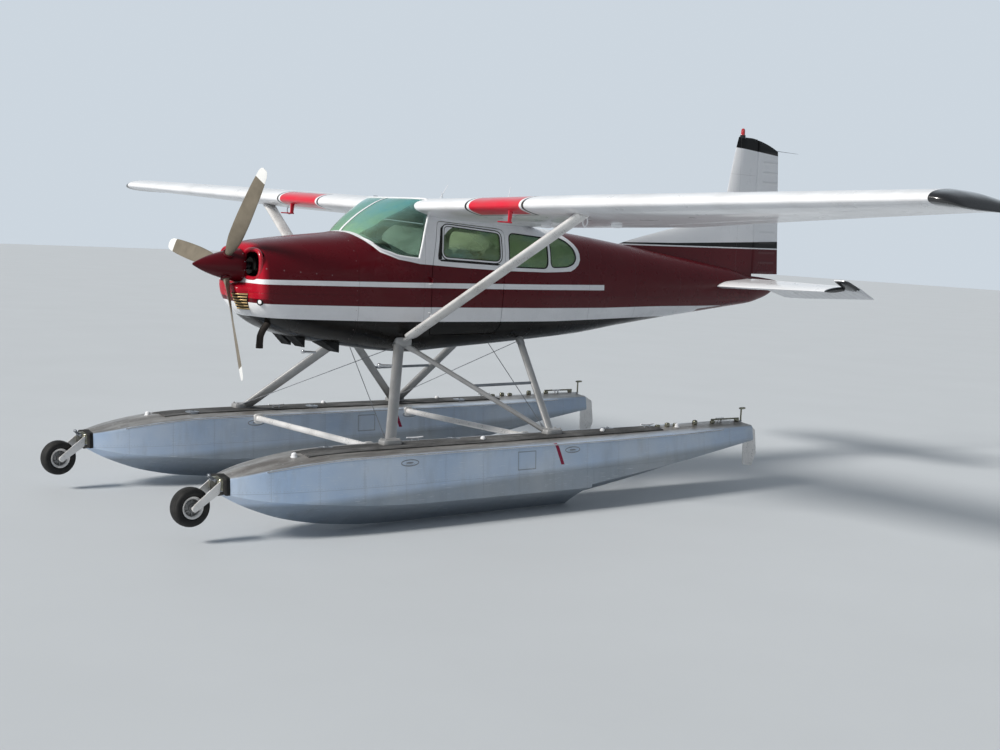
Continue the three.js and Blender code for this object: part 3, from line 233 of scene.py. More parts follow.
def slab(outline, y0, y1):
    """Side-view outline drawn out between two distances to port."""
    return grid(np.stack([place(outline[:, 0], y, outline[:, 1]) for y in (y0, y1)]), caps=True)


def plate(top, low):
    """Thin closed plate between two faces that are given by the same rows."""
    return closed_strip(np.concatenate([top, low[::-1]]))


def closed_strip(rows):
    """Thin closed plate: rows run round it, and both its side edges are closed by strips."""
    n, m = rows.shape[:2]
    points, quads, fans, _ = grid(rows, around_rows=True, around_columns=False)
    i = np.arange(n // 2 - 1)
    left = np.stack([i * m, (n - 1 - i) * m, (n - 2 - i) * m, (i + 1) * m], -1)
    right = left[:, ::-1] + (m - 1)
    skin = np.vstack([quads, left, right])
    return points, skin[:, ::-1] if volume(points, skin, fans) < 0 else skin, fans, 0


def wrapped(near, far):
    """Closed rings round a flat body: rings of the solid run out along one face and back along
    the other."""
    return grid(np.concatenate([near, far[:, ::-1]], axis=1), caps=True)


# Forms that the pieces are made from
def turned(profile, centre, axis, count=48, closed=False):
    """Surface of revolution: each pair of radius and offset is a ring about the axis."""
    profile = np.asarray(profile, float)
    axis = unit(axis)
    helper = np.array([0, 0, 1.0]) if abs(axis[2]) < 0.9 else np.array([1.0, 0, 0])
    u = unit(np.cross(axis, helper))
    v = np.cross(axis, u)
    a = 2 * PI * np.arange(count) / count
    around = np.cos(a)[:, None] * u + np.sin(a)[:, None] * v
    rows = centre + profile[:, 0, None, None] * around + profile[:, 1, None, None] * axis
    return grid(rows, around_rows=closed, caps=not closed)


def rod(start, end, radius, count=20, end_radius=None):
    """Round bar between two points with slightly eased ends, which may taper."""
    start, end = np.asarray(start, float), np.asarray(end, float)
    length = np.linalg.norm(end - start)
    last = radius if end_radius is None else end_radius
    ease = min(radius, last, length / 2) * 0.15
    rows = [[radius - ease, 0], [radius, ease], [last, length - ease], [last - ease, length]]
    return turned(rows, start, end - start, count)


def tube(path, radius, count=12, closed=False, up=(0, 0, 1)):
    """Round tube along a path: a ring across the path at each point, its first direction being
    the cross product of the path and a fixed direction. Radius may change along the path."""
    path = np.asarray(path, float)
    along = np.roll(path, -1, 0) - np.roll(path, 1, 0) if closed else np.gradient(path, axis=0)
    along = unit(along)
    u = unit(np.cross(along, np.asarray(up, float)))
    v = np.cross(along, u)
    a = 2 * PI * np.arange(count) / count
    radius = np.broadcast_to(radius, len(path))[:, None, None]
    ring = np.cos(a)[None, :, None] * u[:, None] + np.sin(a)[None, :, None] * v[:, None]
    return grid(path[:, None] + radius * ring, around_rows=closed, caps=not closed)


def rounded_block(centre, half, ease=5.0, count=20, axes=None):
    """Block with rounded edges: latitude and longitude raised to small powers, scaled to three
    half sizes. axes may turn it: three rows for the directions of its own length, width and height."""
    lat = np.linspace(-PI / 2, PI / 2, count)[:, None]
    lon = 2 * PI * np.arange(2 * count)[None, :] / (2 * count)
    def even(c, q):
        """Cosine and sine carried out to the curve whose powers add up to one."""
        r = (np.abs(c) ** ease + np.abs(q) ** ease) ** (-1 / ease)
        return c * r, q * r

    cl, sl = even(np.cos(lat), np.sin(lat))
    co, so = even(np.cos(lon), np.sin(lon))
    own = np.stack(np.broadcast_arrays(cl * co, cl * so, sl), -1) * half
    if axes is not None:
        own = own @ np.asarray(axes, float)
    return grid(own + np.asarray(centre, float), caps=True)


def block(spot, half, ease, count, axes=None):
    """Rounded block at a station, distance to port and height, in line with the frame unless
    it is given axes."""
    return rounded_block(place(*spot), half, ease, count, axes)


def streamlined(start, end, chord, thickness, fore, count=40, rows=2, taper=None):
    """Streamlined bar: an ellipse pinched towards its tail, carried from start to end. The long
    side lies along the given direction, at right angles to the bar."""
    start, end = np.asarray(start, float), np.asarray(end, float)
    axis = unit(end - start)
    long = unit(np.asarray(fore, float) - np.dot(fore, axis) * axis)
    across = np.cross(axis, long)
    a = 2 * PI * np.arange(count) / count
    u = np.cos(a) * chord / 2
    v = np.sin(a) * thickness / 2 * (0.75 + 0.25 * np.cos(a)) / 0.85
    t = np.linspace(0, 1, rows)
    size = np.ones(rows) if taper is None else np.interp(t, *taper)
    middle = start + t[:, None] * (end - start)
    ring = u[:, None] * long + v[:, None] * across
    return grid(middle[:, None] + size[:, None, None] * ring, caps=True)


def rounded(corners, radius=0.03, count=240):
    """Closed outline with eased corners: points spaced evenly along it, averaged along its length
    with a bell-shaped window of the given width."""
    c = np.asarray(corners, float)
    loop = np.vstack([c, c[:1]])
    run = np.concatenate([[0], np.cumsum(np.hypot(*np.diff(loop, axis=0).T))])
    t = np.arange(count) / count * run[-1]
    p = np.stack([np.interp(t, run, loop[:, k]) for k in (0, 1)], -1)
    rate = np.fft.fftfreq(count, run[-1] / count)
    window = np.exp(-2 * (PI * rate * radius / 2) ** 2)
    return np.fft.ifft(np.fft.fft(p, axis=0) * window[:, None], axis=0).real


def grown(outline, distance):
    """Outline moved outwards along its own normals."""
    d = np.roll(outline, -1, 0) - np.roll(outline, 1, 0)
    normal = unit(np.stack([d[:, 1], -d[:, 0]], -1))
    s, z = outline.T
    area = (s * np.roll(z, -1) - np.roll(s, -1) * z).sum()
    return outline + np.sign(area) * distance * normal


# Fuselage stations: station, half width, bottom, top, fullness of the upper half, lean of the
# upper sides, fullness of the lower half
NOSE_ROWS = [
    [-0.955, 0.362, 0.35, 0.85, 2.8, 0, 2.3],
    [-0.935, 0.398, 0.3, 0.876, 2.8, 0, 2.3],
    [-0.87, 0.428, 0.225, 0.902, 2.8, 0, 2.35],
    [-0.7, 0.455, 0.118, 0.93, 2.8, 0, 2.6],
    [-0.35, 0.485, 0.02, 0.974, 2.85, 0, 3.1],
    [0, 0.508, -0.035, 1.013, 2.8, 0, 3.4],
    [0.14, 0.515, -0.052, 1.036, 2.75, 0, 3.6],
    [0.35, 0.525, -0.078, 0.99, 3.1, 0, 4.0],
    [0.64, 0.535, -0.097, 0.86, 4.5, 0, 4.5],
    [0.7, 0.535, -0.1, 0.84, 4.5, 0, 4.5],
]
BODY_ROWS = [
    [0.62, 0.535, -0.095, 1.352, 4.6, 0.055, 4.6],
    [0.76, 0.537, -0.1, 1.372, 4.6, 0.06, 4.6],
    [0.95, 0.538, -0.084, 1.38, 4.6, 0.06, 4.6],
    [1.3, 0.538, -0.058, 1.36, 4.6, 0.06, 4.6],
    [1.7, 0.53, -0.031, 1.296, 4.6, 0.06, 4.6],
    [2.23, 0.505, 0.006, 1.172, 4.4, 0.06, 4.4],
    [2.6, 0.462, 0.03, 1.135, 4.0, 0.07, 4.0],
    [2.95, 0.415, 0.056, 1.105, 3.6, 0.08, 3.6],
    [3.6, 0.335, 0.134, 1.035, 3.0, 0.06, 3.0],
    [4.3, 0.265, 0.215, 0.95, 2.6, 0, 2.6],
    [5.0, 0.198, 0.292, 0.865, 2.4, 0, 2.4],
    [5.6, 0.135, 0.36, 0.785, 2.3, 0, 2.3],
    [5.9, 0.1, 0.395, 0.72, 2.3, 0, 2.3],
    [6.1, 0.068, 0.44, 0.705, 2.2, 0, 2.2],
    [6.3, 0.036, 0.51, 0.685, 2.0, 0, 2.0],
    [6.42, 0.014, 0.61, 0.668, 2.0, 0, 2.0],
]
CHIN_ROWS = [
    [-1.052, 0.11, 0.44, 0.512, 2.4, 0, 2.4],
    [-1.02, 0.135, 0.365, 0.522, 2.4, 0, 2.4],
    [-0.975, 0.162, 0.285, 0.524, 2.5, 0, 2.5],
    [-0.9, 0.205, 0.232, 0.58, 2.6, 0, 2.6],
    [-0.7, 0.28, 0.14, 0.6, 3.0, 0, 3.0],
]
CABIN_END = 2.95
CABIN_WALL = 0.03
WIDEST = 0.46


def widest(low, high):
    """Height of the widest place of a section: a fixed level, kept between a third and two thirds."""
    return np.clip(WIDEST, low + 0.35 * (high - low), low + 0.65 * (high - low))


def section(s, phi, table, grow=0.0):
    """Rounded-box ring at each station: the point in direction phi on the curve whose sides,
    raised to the fullness, add up to one. The upper sides lean in with height."""
    half, low, high, upper, lean, lower = columns(s, table)
    half, low, high = half + grow, low - grow, high + grow
    mid = widest(low, high)
    c, q = np.cos(phi), np.sin(phi)
    full = np.where(q > 0, upper, lower)
    reach = (np.abs(c) ** full + np.abs(q) ** full) ** (-1 / full)
    z = mid + np.where(q > 0, high - mid, mid - low) * q * reach
    y = half * c * reach * (1 - lean * np.maximum(0, z - mid))
    return y, z


def side_y(s, z, table=BODY_ROWS):
    """Half width of the body at a station and height: the rounded-box formula solved for y."""
    half, low, high, upper, lean, lower = columns(s, table)
    mid = widest(low, high)
    full = np.where(z > mid, upper, lower)
    v = np.clip(np.abs(z - mid) / np.where(z > mid, high - mid, mid - low), 0, 0.9995)
    return half * (1 - v**full) ** (1 / full) * (1 - lean * np.maximum(0, z - mid))


def top_z(s, y, table=NOSE_ROWS):
    """Height of the upper surface at a station and distance from the middle."""
    half, low, high, full = columns(s, table)[:4]
    mid = widest(low, high)
    v = np.clip(np.abs(y) / half, 0, 0.9995)
    return mid + (high - mid) * (1 - v**full) ** (1 / full)


def belly_z(s, y, table=NOSE_ROWS):
    """Height of the lower surface at a station and distance from the middle."""
    half, low, high, _, _, lower = columns(s, table)
    mid = widest(low, high)
    v = np.clip(np.abs(y) / half, 0, 0.9995)
    return mid - (mid - low) * (1 - v**lower) ** (1 / lower)


def chin_front(y, z):
    """Station of the chin's surface at a distance to port and a height, found by halving an
    interval until the chin's half width there is the wanted one."""
    low, high = np.full(y.shape, -1.05), np.full(y.shape, -0.7)
    for _ in range(24):
        s = (low + high) / 2
        wide = side_y(s, z, CHIN_ROWS) > y
        high = np.where(wide, s, high)
        low = np.where(wide, low, s)
    return high


def angles(count):
    """Directions round a section, evenly spaced and even about its middle plane."""
    return 2 * PI * (np.arange(count) + 0.5)[None, :] / count


# Windscreen slices: height, station of the foremost point, half width
SCREEN_SLICES = [
    [0.74, -0.16, 0.53],
    [0.9, 0.0, 0.527],
    [1.054, 0.118, 0.516],
    [1.13, 0.203, 0.511],
    [1.206, 0.303, 0.508],
    [1.27, 0.407, 0.505],
    [1.325, 0.51, 0.501],
    [1.366, 0.633, 0.498],
    [1.38, 0.72, 0.497],
]
SCREEN_REAR = 0.8
# Lower edge of the glass in the side view, and the front edge of the door posts
GLASS_FOOT = [[-0.3, 1.052], [0.05, 1.05], [0.1, 1.0], [0.19, 0.94], [0.255, 0.885], [0.35, 0.85],
    [0.424, 0.826], [0.56, 0.81], [0.7, 0.8]]
POST_FRONT = [[-0.3, 0.62], [0.72, 0.62], [0.813, 0.648], [0.9, 0.668], [1.211, 0.742], [1.26, 0.756],
    [1.32, 0.75], [1.35, 0.735], [1.5, 0.64]]


def screen(a, z, grow=0.0):
    """Station and distance to port on the windscreen: a squarish half ellipse at each height."""
    nose, half = columns(z, SCREEN_SLICES)
    s = SCREEN_REAR - (SCREEN_REAR - nose + grow) * np.maximum(np.cos(a), 0) ** 0.8
    return s, (half + grow) * power(np.sin(a), 0.8)


def screen_limit(z):
    """Angle at which the windscreen meets the door post: the half ellipse solved for its angle."""
    nose = columns(z, SCREEN_SLICES)[0]
    post = columns(z, POST_FRONT)[0]
    return np.arccos(np.clip((SCREEN_REAR - post) / (SCREEN_REAR - nose), 0, 1) ** 1.25)


def screen_foot(v):
    """Height of the glass edge for each part v of the width, found by halving an interval until
    the windscreen's station lies on the drawn lower edge."""
    low, high = np.full(v.shape, 0.78), np.full(v.shape, 1.15)
    for _ in range(30):
        z = (low + high) / 2
        s, y = screen(v * screen_limit(z), z)
        drawn = columns(s, GLASS_FOOT)[0]
        edge = np.maximum(drawn * (np.abs(v) > 0.02), np.minimum(drawn, top_z(s, y) + 0.012))
        high = np.where(z > edge, z, high)
        low = np.where(z > edge, low, z)
    return (low + high) / 2


def screen_rows(v, w, grow=0.0, foot_drop=0.0, height=None):
    """Windscreen surface: v runs across from post to post, w runs up from the lower edge to the
    roof, or by a fixed height."""
    base = screen_foot(v) - foot_drop
    z = base + (SCREEN_TOP - base if height is None else height) * w
    s, y = screen(v * screen_limit(np.maximum(z, 0.78)), z, grow)
    return place(s, y, z)


class Val:
    """One socket of a shader, on which ordinary arithmetic adds Math nodes."""

    def __init__(self, finish, socket):
        self.finish, self.socket = finish, socket

    def math(self, operation, *others):
        """One Math node on this value and the others."""
        return self.finish.node("Math", {"operation": operation}, (self,) + others)

    def __add__(self, other):
        return self.math("ADD", other)

    def __sub__(self, other):
        return self.math("SUBTRACT", other)

    def __mul__(self, other):
        return self.math("MULTIPLY", other)

    def __truediv__(self, other):
        return self.math("DIVIDE", other)

    def __rsub__(self, other):
        return self.finish.node("Math", {"operation": "SUBTRACT"}, (other, self))

    def __abs__(self):
        return self.math("ABSOLUTE")

    def at_least(self, other):
        """The larger of two values."""
        return self.math("MAXIMUM", other)

    def at_most(self, other):
        """The smaller of two values."""
        return self.math("MINIMUM", other)

    def wave(self):
        """Sine of the value, in radians."""
        return self.math("SINE")

    def distance(self, other):
        """Root of the sum of two squares."""
        return (self * self + other * other).math("SQRT")

    def every(self, pitch):
        """Distance from the middle of the nearest of many equal lengths."""
        return ((self / pitch).math("FRACT") - 0.5) * pitch

    def ramp(self, low, high, start=0.0, end=1.0):
        """Straight rise from start to end while the value goes from low to high, level outside."""
        return self.finish.node("MapRange", {}, (self, low, high, start, end))

    def above(self, edge, soft=0.0015):
        """One where the value is over the edge, nought under it, with a soft step between."""
        return (self - edge).ramp(-soft, soft)

    def below(self, edge, soft=0.0015):
        """One where the value is under the edge, nought over it."""
        return (self - edge).ramp(-soft, soft, 1.0, 0.0)

    def near(self, edge, half, soft=0.0015):
        """One within a distance of the edge."""
        return abs(self - edge).below(half, soft)

    def along(self, points):
        """Height of a bent line through points: the first height, then one straight rise a piece."""
        total = points[0][1]
        for (x0, y0), (x1, y1) in zip(points, points[1:]):
            total = self.ramp(x0, x1, 0.0, y1 - y0) + total
        return total

    __radd__ = __add__
    __rmul__ = __mul__


class Finish:
    """One material: its nodes, the place of each point, and the patterns they share."""

    def __init__(self, name, metallic=0.0, roughness=0.4, coat=0.0, coat_roughness=0.05, ior=1.5):
        self.material = bpy.data.materials.new(name)
        self.material.use_nodes = True
        self.tree = self.material.node_tree
        self.tree.nodes.clear()
        self.output = self.tree.nodes.new("ShaderNodeOutputMaterial")
        self.shader = self.tree.nodes.new("ShaderNodeBsdfPrincipled")
        self.tree.links.new(self.shader.outputs[0], self.output.inputs[0])
        start = {"Metallic": metallic, "Roughness": roughness, "Coat Weight": coat,
                 "Coat Roughness": coat_roughness, "IOR": ior}
        for key, value in start.items():
            self.shader.inputs[key].default_value = value
        self.place = self.node("TexCoord", out="Object")
        x, y, z = (self.node("SeparateXYZ", {}, (self.place,), out=k) for k in range(3))
        self.s = MIDDLE_STATION - x
        self.y = y
        self.side = abs(y)
        self.z = z - KEEL_DEPTH
        self.relief = None

    def node(self, kind, settings=(), inputs=(), out=0):
        """New node with its settings and inputs, given by place or by name, as one of its outputs."""
        n = self.tree.nodes.new("ShaderNode" + kind)
        for key, value in dict(settings).items():
            setattr(n, key, value)
        for key, value in inputs.items() if isinstance(inputs, dict) else enumerate(inputs):
            self.put(n.inputs[key], value)
        return Val(self, n.outputs[out])

    def put(self, socket, value):
        """Links a shader value to a socket, or sets a constant on it."""
        if isinstance(value, Val):
            self.tree.links.new(value.socket, socket)
        elif value is not None:
            socket.default_value = value[:3] if socket.type == "VECTOR" else value

    def mix(self, first, second, factor):
        """Colour between two colours."""
        return self.node("Mix", {"data_type": "RGBA"}, {0: factor, 6: first, 7: second}, out=2)

    def shift(self, colour, factor):
        """Colour times a number."""
        return self.node("VectorMath", {"operation": "SCALE"}, {0: colour, 3: factor})

    def noise(self, scale, detail=3.0, rough=0.55, stretch=(1, 1, 1)):
        """Soft clouds by place, drawn out along the three directions."""
        spot = self.node("Mapping", {}, {"Vector": self.place, "Scale": stretch})
        wanted = {"Vector": spot, "Scale": scale, "Detail": detail, "Roughness": rough}
        return self.node("TexNoise", {}, wanted)

    def patchy(self, low, high):
        """Gloss that varies in broad clouds between two values."""
        return self.noise(5.0, 4.0).ramp(0.3, 0.75, low, high)

    def rivets(self, along, across, pitch, radius=0.0028):
        """Round heads in a row: the distance from the nearest multiple of the pitch along the row
        and the distance across it make the distance from a head."""
        return along.every(pitch).distance(across).below(radius, radius * 0.35)

    def seam(self, value, edge, half=0.0012):
        """Fine line where the value meets the edge."""
        return value.near(edge, half, 0.0008)

    def seams(self, value, edges):
        """Fine lines where the value meets any of the edges."""
        return sum(self.seam(value, edge) for edge in edges)

    def raise_by(self, height, distance=1.0):
        """Adds a relief, in metres, to the surface."""
        height = height * distance
        self.relief = height if self.relief is None else self.relief + height

    def done(self, colour, roughness=None):
        """Joins colour, gloss and relief to the shader and hands back the material."""
        self.put(self.shader.inputs["Base Color"], colour)
        self.put(self.shader.inputs["Roughness"], roughness)
        if self.relief is not None:
            bump = self.node("Bump", {}, {"Strength": 1.0, "Distance": 1.0, "Height": self.relief})
            self.put(self.shader.inputs["Normal"], bump)
        return self.material


def rgb(r, g, b):
    """Colour from the eight-bit values of a screen colour."""
    lin = [((v / 255 + 0.055) / 1.055) ** 2.4 if v > 10 else v / 255 / 12.92 for v in (r, g, b)]
    return (*lin, 1.0)


MAROON = rgb(88, 6, 19)
WHITE = rgb(236, 237, 240)
BLACK = rgb(17, 17, 18)
BELLY_BLACK = rgb(9, 8, 7)
# Brighter red that stands for the maroon paint in sunlight: a painted highlight.
PAINTED_SUNLIT_RED = rgb(172, 17, 39)
SIGNAL_RED = rgb(214, 28, 54)


def aged(f, colour, amount=0.06, scale=2.2):
    """Colour with faint clouds and fine specks, as paint that has stood outside."""
    cloud = f.noise(scale, 4.0).ramp(0.3, 0.7, 1 - amount, 1 + amount * 0.4)
    speck = f.noise(85.0, 2.0).ramp(0.62, 0.72, 1.0, 1 - amount)
    return f.shift(f.shift(colour, cloud), speck)


# Paint lines of the fuselage in the side view, as pairs of station and height: the thin stripe's
# edges, the tops of the thick white band and of the black belly, the maroon under the tail, and
# the foot of the white round the cabin windows. Its rear end has pairs of height and station.
STRIPE_LOW, STRIPE_HIGH = [(-1.1, 0.534), (3.07, 0.531)], [(-1.1, 0.576), (3.07, 0.587)]
BAND_TOP = [(-1.1, 0.362), (0.36, 0.351), (3.2, 0.346), (4.15, 0.361), (5.45, 0.366)]
BELLY_TOP = [
    (-1.1, 0.236), (0.36, 0.213), (2.46, 0.213), (3.24, 0.226), (4.16, 0.242), (4.5, 0.235),
    (4.9, 0.2),
]
TAIL_FOOT = [(4.6, 0.2), (4.9, 0.328), (5.4, 0.372), (6.3, 0.6)]
CABIN_FOOT = [
    (-0.3, 1.03), (0.05, 1.03), (0.086, 0.988), (0.19, 0.905), (0.255, 0.85), (0.424, 0.792),
    (0.56, 0.772), (0.66, 0.756), (1.2, 0.73), (1.73, 0.712), (2.25, 0.708), (2.4, 0.712),
    (2.52, 0.716), (2.8, 0.73),
]
CABIN_REAR = [
    (0.7, 2.54), (0.72, 2.64), (0.75, 2.71), (0.79, 2.765), (0.84, 2.795), (0.9, 2.797),
    (0.95, 2.778), (1.0, 2.735), (1.05, 2.665), (1.09, 2.6), (1.16, 2.48), (1.3, 2.4),
]


def body_paint(name):
    """Fuselage paint in the side view: maroon, a thin stripe, a thick band, a black belly and the
    white round the cabin windows, with seams, rivets and screws. The nose bowl's front face is a
    brighter red, a painted highlight of sunlight."""
    f = Finish(name, roughness=0.36, coat=0.15, coat_roughness=0.1, ior=1.28)
    s, z = f.s, f.z
    # Painted highlight: the nose bowl's front face is a brighter red, as if in sunlight.
    bowl = s.below(-0.915, 0.03) * z.above(0.4) * z.below(0.9)
    stripe = z.above(s.along(STRIPE_LOW)) * z.below(s.along(STRIPE_HIGH)) * s.below(3.19)
    colour = f.mix(f.mix(MAROON, PAINTED_SUNLIT_RED, bowl), WHITE, stripe)
    colour = f.mix(colour, WHITE, z.below(s.along(BAND_TOP)) * s.below(6.4))
    colour = f.mix(colour, BELLY_BLACK, z.below(s.along(BELLY_TOP)))
    colour = f.mix(colour, MAROON, z.below(s.along(TAIL_FOOT)) * s.above(4.88))
    cabin = z.above(s.along(CABIN_FOOT)) * s.below(z.along(CABIN_REAR)) * s.above(0.03)
    colour = f.mix(colour, WHITE, cabin)
    dirt = f.noise(3.2, 5.0, 0.6, (1, 1, 3)).ramp(0.45, 0.8, 0.0, 0.16) * z.ramp(-0.1, 0.5, 0.6, 0.25)
    colour = f.mix(aged(f, colour), rgb(96, 84, 74), dirt)
    lines = f.seams(s, (0.0, 0.72, 2.95, 3.72, 4.5, 5.2))
    lines = lines + f.seam(z, 0.455) * s.below(0.0) + f.seam(z, 0.46) * s.above(2.2)
    lines = (lines + f.seam(z, 0.18) * s.above(0.0)).at_most(1.0)
    rows = f.rivets(s, z - 0.475, 0.035) + f.rivets(s, z - 0.165, 0.035)
    for station in (0.02, 2.93, 2.97, 3.7, 4.48, 5.18):
        rows = rows + f.rivets(z, s - station, 0.033)
    rows = (rows * s.above(0.01)).at_most(1.0)
    screw_line = z - s.along([(-0.91, 0.67), (-0.28, 0.63)])
    screws = f.rivets(s + 0.9885, screw_line, 0.157, 0.0062) * s.below(-0.2) * s.above(-0.94)
    screws = screws + f.rivets(z, s + 0.022, 0.09, 0.004) * s.below(0.0)
    colour = f.mix(colour, rgb(52, 12, 20), lines * 0.55)
    colour = f.mix(colour, rgb(150, 130, 132), screws.at_most(1.0) * 0.55)
    f.raise_by(lines, -0.0012)
    f.raise_by(rows, 0.0005)
    f.raise_by(f.noise(260.0, 1.0), 0.00006)
    f.raise_by(f.noise(1.4, 1.0), 0.0022)
    return f.done(colour, f.patchy(0.2, 0.4) + dirt * 0.8)


def tail_paint(name):
    """Fin and rudder paint in the side view: white over a black wedge, a white line and maroon,
    with a black cap, and raised beads across the rudder."""
    f = Finish(name, roughness=0.36, coat=0.2, ior=1.32)
    s, z = f.s, f.z
    line = s.along([(3.6, 1.03), (6.4, 1.054)])
    wedge = z.below(s.along([(3.6, 1.043), (4.6, 1.066), (6.4, 1.137)])) * z.above(line)
    colour = f.mix(WHITE, BLACK, wedge)
    colour = f.mix(colour, MAROON, z.below(line - 0.014))
    colour = f.mix(colour, BLACK, z.above(s.along([(5.5, 2.214), (6.35, 2.155)])))
    colour = aged(f, colour, 0.05)
    beads = z.every(0.118).near(0.0, 0.012, 0.009) * s.above(6.03, 0.01) * s.below(6.34, 0.02)
    fixed = s.below(5.9)
    lines = f.seams(z, (1.42, 1.9)) * fixed + f.seam(s, 5.62)
    rows = (f.rivets(s, z - 1.44, 0.04) + f.rivets(s, z - 1.92, 0.04)) * fixed
    rows = rows + f.rivets(z, s - 5.66, 0.04)
    colour = f.mix(colour, rgb(120, 116, 116), (lines + beads * 0.25).at_most(1.0) * 0.45)
    f.raise_by(beads, 0.0035)
    f.raise_by(lines.at_most(1.0), -0.001)
    f.raise_by(rows, 0.0005)
    f.raise_by(f.noise(1.6, 1.0), 0.002)
    return f.done(colour, f.patchy(0.24, 0.42))


def wing_paint(name, beads=0.0):
    """Wing paint: white with a red patch on the leading edge outlined in white and black, seams at
    the ribs, rivet rows, and faint brownish clouds all over. beads adds raised ribs along the chord."""
    f = Finish(name, roughness=0.32, coat=0.45)
    s, y = f.s, f.side
    colour = WHITE
    if not beads:
        # The patch wraps the nose of the wing: black, then white, then red, each a little smaller
        behind = s - y.along([(0.4, 0.61), (2.54, 0.61), (5.94, 0.739)])
        for tone, half, reach in ((BLACK, 0.405, 0.2), (WHITE, 0.377, 0.18),
            (SIGNAL_RED, 0.345, 0.155)):
            colour = f.mix(colour, tone, y.near(1.624, half) * behind.below(reach))
    colour = aged(f, colour, 0.05, 1.4)
    # Faint brownish clouds over the whole wing, top and bottom alike.
    under = f.noise(2.0, 5.0, 0.6, (0.4, 1.6, 1)).ramp(0.42, 0.8, 0.0, 0.25)
    colour = f.mix(colour, rgb(120, 112, 100), under)
    if beads:
        ribs = y.every(beads).near(0.0, 0.014, 0.012)
        f.raise_by(ribs, 0.004)
        colour = f.mix(colour, rgb(150, 148, 146), ribs * 0.12)
    else:
        rib = y.every(0.66)
        lines = (f.seam(rib, 0.0) * s.above(0.78) + f.seams(s, (0.79, 1.24))).at_most(1.0)
        rows = f.rivets(s, abs(rib) - 0.012, 0.04)
        for station in (0.805, 1.255, 1.6):
            rows = rows + f.rivets(y, s - station, 0.04)
        colour = f.mix(colour, rgb(110, 108, 106), lines * 0.5)
        f.raise_by(lines, -0.001)
        f.raise_by(rows.at_most(1.0), 0.0005)
    f.raise_by(f.noise(1.8, 1.0), 0.002)
    return f.done(colour, f.noise(4.0, 4.0).ramp(0.3, 0.75, 0.26, 0.44))


def horn_paint(name):
    """Elevator horns: black with a white nose edge."""
    f = Finish(name, roughness=0.3, coat=0.5)
    tone = f.mix(BLACK, WHITE, f.s.below(5.596, 0.003))
    f.raise_by(f.noise(240.0, 2.0), 0.00012)
    return f.done(aged(f, tone, 0.08), f.noise(9.0, 4.0).ramp(0.3, 0.75, 0.24, 0.42))


def plain_paint(name, colour, roughness=0.3, coat=0.5, wear=0.0, amount=0.08, ior=1.5):
    """Even paint with clouds, fine grain and, where wanted, worn patches that show metal."""
    f = Finish(name, roughness=roughness, coat=coat, ior=ior)
    tone = aged(f, colour, amount)
    if wear:
        worn = f.noise(22.0, 6.0, 0.7).ramp(0.6, 0.66, 0.0, 1.0) * f.noise(3.0, 2.0).ramp(0.45,
            0.6) * wear
        tone = f.mix(tone, rgb(150, 150, 150), worn)
    f.raise_by(f.noise(240.0, 2.0), 0.00012)
    return f.done(tone, f.noise(9.0, 4.0).ramp(0.3, 0.75, roughness * 0.8, roughness * 1.4))


def metal(name, colour, roughness=0.32, grain=(40, 40, 4), stain=0.15, metallic=0.9):
    """Bare metal with a drawn grain, dull clouds and stains in scattered patches."""
    f = Finish(name, metallic=metallic, roughness=roughness)
    fine = f.noise(14.0, 4.0, 0.6, grain)
    cloud = f.noise(5.0, 4.0)
    tone = f.shift(colour, cloud.ramp(0.3, 0.75, 0.82, 1.08))
    tone = f.mix(tone, rgb(70, 62, 54), f.noise(9.0, 6.0, 0.7).ramp(0.58, 0.75, 0.0, stain))
    f.raise_by(fine, 0.00015)
    return f.done(tone, fine.ramp(0.3, 0.7, roughness * 0.75, roughness * 1.35) + cloud.ramp(0.3, 0.7,
        -0.03, 0.08))


# Edge between the blue side and the worn deck of a float: pairs of station and height
DECK_EDGE = [
    (-1.815, -0.972), (-1.5, -0.9125), (-1.2, -0.87125), (-0.8, -0.84025), (-0.35, -0.83425),
    (4.38, -0.8175),
]
WATERLINE = [(-1.9, -1.25), (-1.4, -1.2), (4.4, -0.96)]


